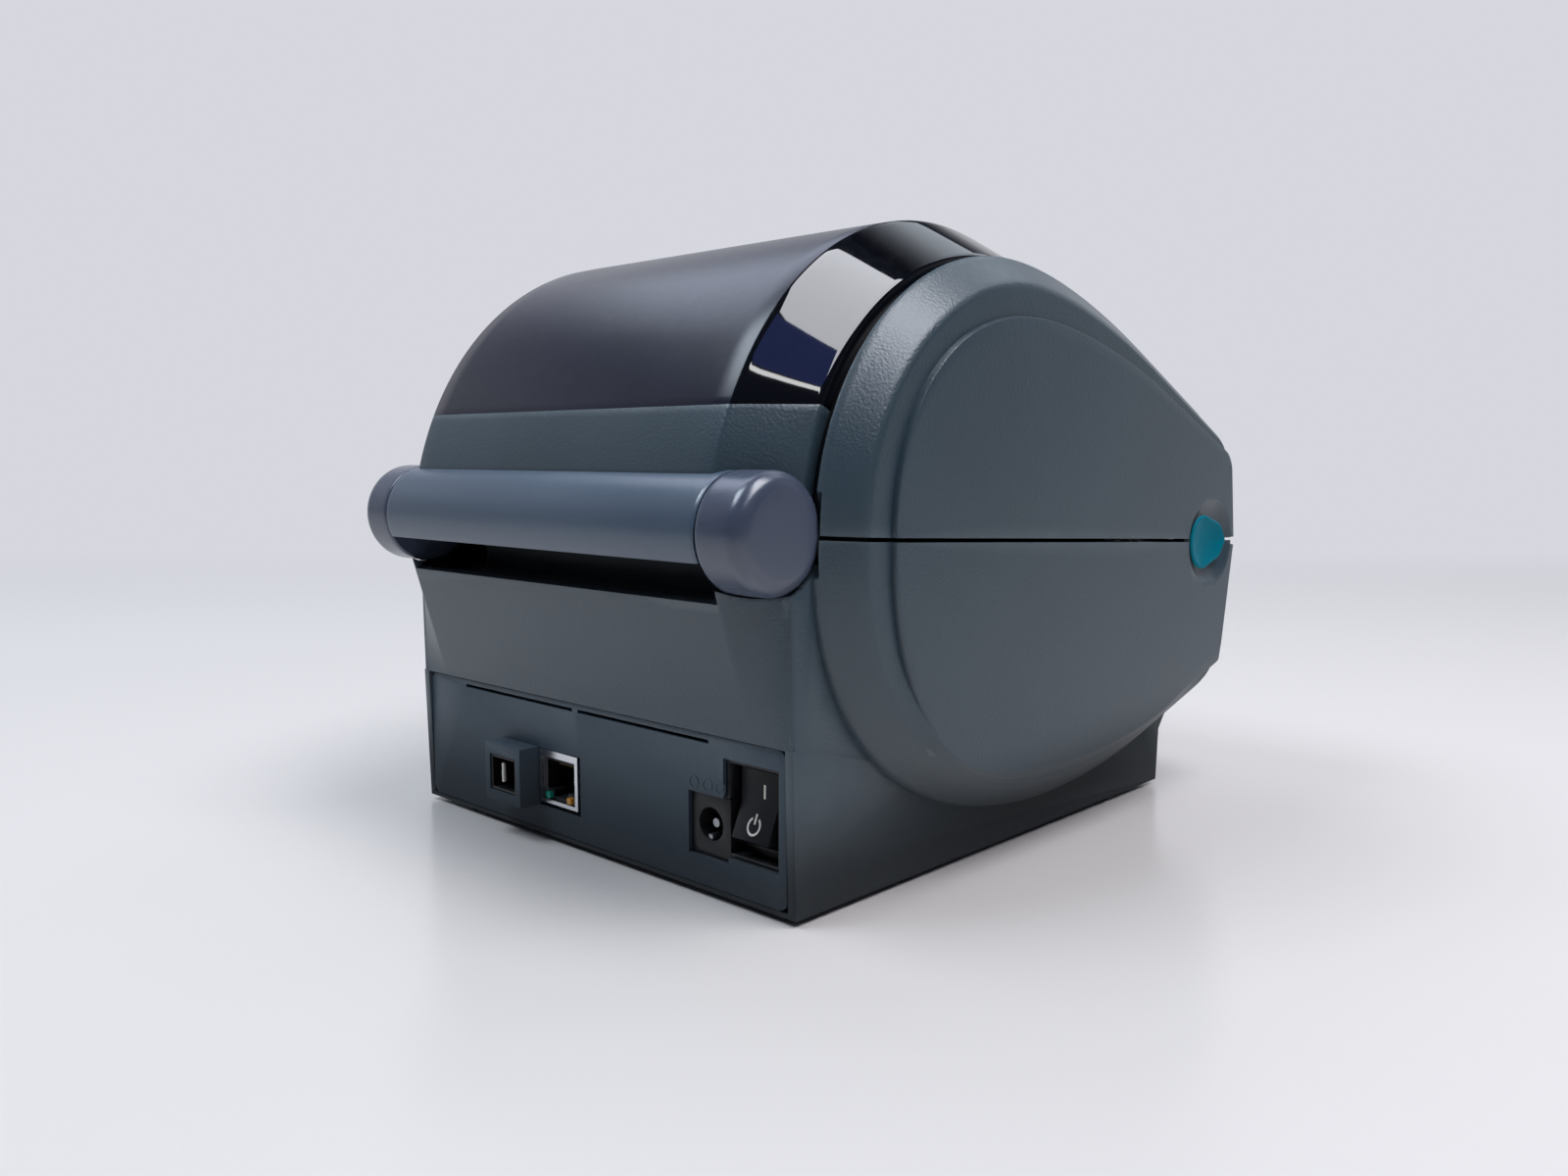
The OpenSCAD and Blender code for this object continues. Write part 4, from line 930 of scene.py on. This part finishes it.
def stretch(line, key, lo, hi, count):
    """Points of the line between two values of its growing key, evenly spread along it."""
    ends = np.column_stack([np.interp((lo, hi), key, line[:, c]) for c in (0, 1)])
    inside = line[(key > lo) & (key < hi)]
    joined = np.concatenate([ends[:1], inside, ends[1:]])
    way = np.concatenate([[0], np.cumsum(np.linalg.norm(np.diff(joined, axis=0), axis=1))])
    even = np.linspace(0, way[-1], count)
    return np.column_stack([np.interp(even, way, joined[:, c]) for c in (0, 1)])


def station_rows(slope_end, corner, top, back, tail, fullness, tuck):
    """Side outline cut into three stretches: front casing, window and rear band."""
    rise = np.subtract(corner, slope_end)
    far = np.asarray(slope_end) - rise / rise[0] * (slope_end[0] - BEYOND)
    over = chain(straight(far, slope_end, 30), turn(slope_end, corner, top, 50, 0.62),
                 turn(top, (back, top[1]), tail, 90, fullness))
    tip = crossing(NOSE[0], NOSE[1], over[0], over[1])
    up, along = unit(NOSE[1] - NOSE[0]), unit(rise)
    nose = chain(straight((FRONT, parting(FRONT) + 0.6), tip - NOSE_CORNER * up, 12),
                 turn(tip - NOSE_CORNER * up, tip, tip + NOSE_CORNER * along, 9))
    over = over[over[:, 0] > nose[-1, 0] + 1]
    peak = int(over[:, 1].argmax())
    front = np.concatenate([nose, stretch(over, over[:, 0], nose[-1, 0] + 1.5, SPLIT, 50)])
    level = over[(over[:, 0] >= SPLIT) & (np.arange(len(over)) <= peak)]
    down = over[peak:]
    window = np.concatenate([stretch(level, level[:, 0], SPLIT, level[-1, 0], 24)[:-1],
                             stretch(down, -down[:, 1], -down[0, 1], -SEAM, 44)])
    band = stretch(down, -down[:, 1], -SEAM, -tail[1], 16)
    return front, window, np.concatenate([band, band[-1:] + tuck])


middle_parts = station_rows((-50.0, 138.6), (CROWN_TURN, CROWN_TOP), (20.0, CROWN_TOP), 81.0,
                            (96.5, 97.0), 0.6, (-0.5, -1.8))
rim_parts = station_rows((-57.95, 130.15), (-14.75, 149.2), (11.85, 149.2), 81.4,
                         (81.4, 84.7), 0.552, (0.0, -0.3))
print("points along the middle:", [len(p) for p in middle_parts],
      "and the rim:", [len(p) for p in rim_parts])

# %% [markdown]
# Across a station the surface is level up to the crease and then falls in a
# straight line to the rim. With u as the distance outside the crease, the
# fall is 0, then (u + w)^2 / 4w over the rounded crease, then u.


# %% Sheets of the cover
EDGE = 72.2                       # where the sheet turns down into the groove beside the cheek
SOFT = 0.6                        # half width of the rounded crease


def eased(u, soft):
    """The fall at the distance u outside a crease that is rounded over soft on each side."""
    return 0.0 if u < -soft else (u + soft) ** 2 / (4 * soft) if u < soft else u


def sheet_points(middle, rim, across, skirt):
    """A column for every x over the stations, and one at the rim for every skirt depth."""
    reach = RIM - CREASE
    columns = []
    for x in across:
        share = min(eased(abs(x) - CREASE, SOFT) / reach, 1.0)
        columns.append(at_x(x, middle + share * (rim - middle)))
    edge = middle + (EDGE - CREASE) / reach * (rim - middle)
    for depth in skirt:
        lower = moved_in(edge, depth)
        if across[0] < -CREASE:
            columns.insert(0, at_x(-EDGE, lower))
        if across[-1] > CREASE:
            columns.append(at_x(EDGE, lower))
    return np.stack(columns, 1)


def spread(lo, hi, *near):
    """Columns from lo to hi, one about every 6 mm, and close ones round each value in near."""
    marks = set(np.linspace(lo, hi, int((hi - lo) // 6) + 2).round(3))
    for m in near:
        marks |= {round(m + d, 3) for d in (-SOFT, -SOFT / 2, 0, SOFT / 2, SOFT)}
    return sorted(v for v in marks if lo <= v <= hi)


def cover_sheet(name, part, across, skirt, *nodes, slot="casing", wall=WALL, tools=(), edge=0.25,
                look=None):
    """One moulding of the cover: its sheet, wall, openings, rounded edges and finish."""
    grid = sheet_points(middle_parts[part], rim_parts[part], across, skirt)
    piece = cut(sheet(name, grid, wall), *tools)
    edge_round(piece, edge, 50)
    finish(piece, "cover", slot, *nodes, angle=34, look=look)


def box_tool(name, low, high):
    """A plain box between two corners in millimetres."""
    (x0, y0, z0), (x1, y1, z1) = low, high
    return disc_solid(name, np.array([(y0, z0), (y1, z0), (y1, z1), (y0, z1)]), x0, x1)


SKIRT = (0.3, 1.2, 4.0)
FULL = spread(-71.9, 71.9, -CREASE, CREASE)
FEED_Y, FEED_R = -78.0, 9.6       # middle and radius of the feed button's hole
FEED = np.array([38.0, FEED_Y, CROWN_TOP + (FEED_Y - CROWN_TURN) * CROWN_RISE])
lean = np.arctan(CROWN_RISE)
tilt = np.array([[1, 0, 0], [0, np.cos(lean), np.sin(lean)], [0, -np.sin(lean), np.cos(lean)]])
t = around(64)
rings = [FEED + np.column_stack([r * np.cos(t), r * np.sin(t), np.full(64, h)]) @ tilt
         for h, r in ((-14, 0), (-14, FEED_R), (9, FEED_R), (9, 0))]
feed_tool = grid_object("feed_tool", [(np.stack(rings), True, False)])
exit_tool = box_tool("exit_tool", (-61, -112, 60), (61, -93, 80.5))
cover_sheet("cover_front", 0, FULL, SKIRT, "top_casing", tools=(feed_tool, exit_tool))
dropped(feed_tool, exit_tool)

# %% [markdown]
# The window wraps over the crown. Its middle is satin, and the two facets are
# polished, so they stay pieces of their own with a hair line between.

# %% Window and its polished facets
GLASS = dict(slot="smoked_window", wall=2.0, edge=0.12)
cover_sheet("window_middle", 1, spread(-59.3, 59.3), (), "window", **GLASS)
for side, hand in HANDS:
    across = sorted(side * v for v in (59.38, 59.7, 60.5, 62, 64.5, 67, 69.5, 71.2, 71.9))
    cover_sheet("window_facet_" + hand, 1, across, SKIRT, "window", look="polished_facet", **GLASS)
cover_sheet("rear_band", 2, FULL, SKIRT, "top_casing", edge=0.3)

# %% [markdown]
# A dark gap runs between the cover's top and each cheek, from the nose to the
# hinge. Its floor is one strip along the rim outline, finished black as painted
# shade deep in the gap.

# %% Floor of the groove
rim_line = np.concatenate([part[:-1] for part in rim_parts[:2]] + [rim_parts[2]])
for side, hand in HANDS:
    strip = np.stack([at_x(side * x, moved_in(rim_line, depth))
                      for x, depth in ((71.6, 2.2), (72.6, 2.0), (74.0, 2.0), (75.4, 2.2))], 1)
    # Black is painted shade: the floor is part of the cover's own moulding.
    finish(sheet("groove_floor_" + hand, strip, 1.0, side == -1), "cover", "black_plastic",
           "top_casing")

# %% [markdown]
# ## Hinge barrel
# The barrel cover is part of a tube round the hinge axis, open below. The two
# caps at its ends belong to the base: each is a turned shape, so its profile
# (x, radius) goes once round the axis.


# %% Barrel and caps
def turned(name, profile, first=0.0, last=360.0, count=96):
    """Profile points (x, radius) carried round the hinge axis; short of a full turn, a sheet.

    The angle is 0 to the back and grows upwards.
    """
    full = last - first >= 360
    a = np.radians(np.linspace(first, last, count, endpoint=not full))
    x, r = np.asarray(profile, float).T[:, :, None]
    x = np.broadcast_to(x, (len(x), count))
    grid = np.stack([x, HINGE[0] + r * np.cos(a), HINGE[1] + r * np.sin(a)], -1)
    return grid_object(name, [(grid, True, False)]) if full else sheet(name, grid)


BARREL_END = 62.35                # half width of the barrel cover
SHOULDER = 61.9                   # half width where its ends step in by a hair
across = spread(-BARREL_END, BARREL_END, -SHOULDER, SHOULDER)
profile = [(x, BARREL - (0.0 if abs(x) < SHOULDER else 0.12)) for x in across]
barrel = turned("barrel_cover", profile, -27, 100, 80)
edge_round(barrel, 0.35, 50)
finish(barrel, "cover", "hinge_trim", "top_casing", angle=40)

CAP_IN, CAP_OUT = 62.75, 75.95    # half widths of a cap's two faces
CAP_WIDE, CAP_TALL = 3.9, 4.2     # width and height of the rounding at its outer face
a = np.linspace(0, pi / 2, 14)
cap_nose = zip(CAP_OUT - CAP_WIDE + CAP_WIDE * np.sin(a), BARREL - CAP_TALL + CAP_TALL * np.cos(a))
cap_profile = [(CAP_IN, 0), (CAP_IN, 5), (CAP_IN, 12.7), (62.82, 13.0), (63.05, 13.25),
               (63.35, 13.36), *[(x, BARREL) for x in (63.8, 65, 67, 69, 71)], *cap_nose,
               (CAP_OUT, 6), (CAP_OUT, 2), (CAP_OUT, 0)]
for side, hand in HANDS:
    cap = turned("hinge_cap_" + hand + "_round", [(side * x, r) for x, r in cap_profile])
    # The caps' look is painted shade and painted reflection: a darker, more violet copy of the
    # barrel's plastic.
    finish(cap, "base", "hinge_trim", "hinge_cap_" + hand, look="cap_trim")

# %% [markdown]
# ## Base tub
# The tub between the cheeks has flat walls, so its CAD mesh serves as the
# start: a copy is merged, cleared of the cheeks, which are lofts here, and
# gets rounded edges.


# %% Tub of the base
def copied(node_name, name):
    """A merged copy of a CAD node as a piece of its own."""
    return tidied(new_object(name, frame["nodes"][node_name].data.copy()), 0.004)


def softened(node_name, name, width, slot, body, look=None):
    """A copy of a CAD node with its edges rounded."""
    piece = copied(node_name, name)
    edge_round(piece, width)
    finish(piece, body, slot, node_name, angle=34, look=look)


tub = copied("base_shell", "base_tub")
TUB_SIDE = 74.7                   # half width of the tub
tub_tools = [box_tool("side_tool", (side * TUB_SIDE, -130, -10), (side * 95, 130, 120))
             for side, hand in HANDS]
tub_tools.append(box_tool("rear_tool", (-80, 84.3, 38.0), (80, 120, 120)))
cut(tub, *tub_tools)
dropped(*tub_tools)
# The rear panel's look is painted light: a bluer copy of the casing's plastic.
softened("rear_panel", "rear_panel_soft", 0.3, "casing", "base", look="panel_casing")
softened("exit_guide", "exit_guide_soft", 0.3, "casing", "base")

# %% [markdown]
# The rear wall over the connector panel is one grid. Its middle leans out
# towards the lip under the barrel. Beside the middle the wall is twisted: at
# every height it runs straight from the leaning middle to the upright corner.

# %% Rear wall with the label slot's lip
WALL_FOOT, LIP_TOP, POST_TOP = 37.9, 69.4, 72.7
LIP_END, POST = 61.4, 73.2        # half widths where the lip ends and the upright corner starts
WALL_Y, WALL_ROOT = 87.6, 84.2    # Y of the wall's foot, and of the edges it is rooted in
POST_LEAN, LIP_LEAN = 0.012, 0.2985   # how far the wall leans out per millimetre up
CORNER = 0.8                      # radius of the upright corner


def rear_wall(columns):
    """Grid of the wall: y = side + (middle - side) * share.

    The share falls from 1 at the lip's end to 0 at the post.
    """
    grid = []
    for x in columns:
        out = abs(x)
        z = np.linspace(WALL_FOOT, LIP_TOP if out <= LIP_END else POST_TOP, 14)
        side = WALL_Y + (z - WALL_FOOT) * POST_LEAN
        middle = WALL_Y + (z - WALL_FOOT) * LIP_LEAN
        share = 1 - eased(out - LIP_END - CORNER, CORNER) / (POST - LIP_END - CORNER)
        y = side + (middle - side) * max(share, 0)
        past = min(out - (TUB_SIDE - CORNER), CORNER)
        if past > 1e-9:
            y = side - CORNER + np.sqrt(np.maximum(CORNER ** 2 - past ** 2, 0))
        grid.append(np.column_stack([np.full(len(z), x), y, z]))
    return grid


# Half widths of the columns: close together where the lip ends and round the corner.
half = [0, 20, 40, 61.4, 61.5, 61.8, 62.1, 62.4, 62.7, 63, 64, 66, 68, 70, 72, 73.2, 73.9, 74.2,
        74.45, 74.62, TUB_SIDE]
strips = rear_wall([-x for x in half[:0:-1]] + half)
roots = [strip * [1, 0, 1] + [0, WALL_ROOT, 0] for strip in (strips[0], strips[-1])]
wall = sheet("rear_wall", np.stack([roots[0], *strips, roots[1]], 1), flip=True)
rooms = [cap_room(side, 60.2) for side, hand in HANDS]
cut(wall, *rooms)
cut(tub, wall, kind="UNION")
dropped(wall, *rooms)
edge_round(tub, 0.4, 40)
finish(tub, "base", "casing", "base_shell", angle=34)

# %% [markdown]
# ## Ports and switch
# The small fittings keep their CAD shapes with rounded edges. Printed marks
# are thin plates laid on the surface under them: for each point of a mark a
# ray along -Y finds the surface.

# %% Marks on the rocker
LIFT, DEEP = 0.07, 0.05           # how far a mark stands out, and how far it is let in


def laid_on(node_name, name, *strokes):
    """Thin plates laid on a CAD node from behind; each stroke is a grid of points (x, z)."""
    under = frame["nodes"][node_name]
    corners = [under.matrix_world @ v.co for v in under.data.vertices]
    surface = BVHTree.FromPolygons(corners, [list(p.vertices) for p in under.data.polygons])
    parts = []
    for stroke in strokes:
        top = np.zeros(stroke.shape[:2] + (3,))
        for i, j in np.ndindex(*stroke.shape[:2]):
            x, z = stroke[i, j]
            place = surface.ray_cast((x * MM, 0.2, (z + FOOT) * MM), (0, -1, 0))[0]
            top[i, j] = x, place.y / MM + LIFT, z
        back = top - [0, LIFT + DEEP, 0]
        parts.append((np.concatenate([back[:1], top, back[-1:], back[::-1]]), False, False))
        for edge in (0, -1):
            parts.append((np.stack([top[:, edge], back[:, edge]]), False, False))
    return grid_object(name, parts, merge=0.004)


def bar(x, z, wide, tall):
    """An upright stroke as a grid."""
    heights = np.linspace(z - tall / 2, z + tall / 2, 6)
    return np.stack(np.meshgrid([x - wide / 2, x + wide / 2], heights), -1)


def arc(x, z, radius, wide, first, last):
    """A round stroke from the first to the last angle, in degrees from the right."""
    a = np.radians(np.linspace(first, last, 28))[:, None]
    r = np.array([radius - wide / 2, radius + wide / 2])[None, :]
    return np.stack([x + r * np.cos(a), z + r * np.sin(a)], -1)


ROCKER = "power_rocker"
marks = (laid_on(ROCKER, "mark_on", bar(-62.6, 26.2, 0.6, 3.2)),
         laid_on(ROCKER, "mark_power", arc(-61.0, 18.4, 1.8, 0.5, 122, 418),
                 bar(-61.0, 19.9, 0.5, 2.2)))
for mark in marks:
    finish(mark, "rocker", "gear_white", ROCKER)
softened(ROCKER, "rocker_soft", 0.45, "switch_black", "rocker")
softened("switch_frame", "switch_frame_soft", 0.2, "switch_black", "base")
softened("power_jack", "power_jack_soft", 0.2, "black_plastic", "base")

# %% [markdown]
# Inside the network port there are two small lamps and eight gold springs;
# the square data port has a pale tongue, whose body is painted black as the
# shade inside the port, so that only its tip shows pale. Three tiny raised
# rings over the power jack show its poles.


# %% Small parts of the ports
def small_box(name, low, high, slot, edge=0.12, look=None):
    """A plain box with rounded edges, on the base."""
    piece = box_tool(name, low, high)
    edge_round(piece, edge, 40)
    finish(piece, "base", slot, look=look)


for name, x in (("lamp_green", 14.7), ("lamp_amber", 5.5)):
    small_box(name, (x - 0.9, 85.0, 10.5), (x + 0.9, 87.4, 12.1), "ring_lens", look=name)
PITCH = 1.02                      # from one contact spring to the next
for k in range(8):
    x = 6.5 + PITCH * k
    small_box(f"contact_{k + 1}", (x - 0.17, 76.0, 19.2), (x + 0.17, 84.0, 19.5), "pinion_brass",
              edge=0.05)
liner = box_tool("data_liner", (21.9, 80.0, 10.95), (33.1, 92.4, 20.25))
hollow = box_tool("hollow", (22.4, 82.0, 11.45), (32.6, 95.0, 19.75))
cut(liner, hollow)
dropped(hollow)
finish(liner, "base", "black_plastic", "data_port")
# The tongue is pale plastic all through; its body is painted black as the shade inside the port,
# and only its tip keeps the pale colour.
small_box("data_tongue", (28.0, 81.0, 13.2), (28.8, 91.5, 18.4), "black_plastic")
small_box("data_tongue_tip", (28.0, 91.4, 13.2), (28.8, 92.1, 18.4), "gear_white", edge=0.2)
small_box("jack_contact", (-47.0, 79.0, 12.2), (-45.7, 85.4, 13.4), "steel", edge=0.2)

PANEL_Y, RAISED_Y = 86.7, 86.98   # surface of the panel, and of what is raised on it
a = around(36)
for k, x in enumerate((-42.3, -47.0, -51.3)):
    ring = np.stack([np.stack([x + r * np.cos(a), np.full(36, y), 25.4 + r * np.sin(a)], -1)
                     for r, y in ((1.35, PANEL_Y), (1.4, RAISED_Y), (1.6, RAISED_Y),
                                  (1.65, PANEL_Y), (1.35, PANEL_Y))])
    pole = grid_object(f"pole_mark_{k + 1}", [(ring, True, False)])
    # The rings take the rear panel's painted light too.
    finish(pole, "base", "casing", look="panel_casing")
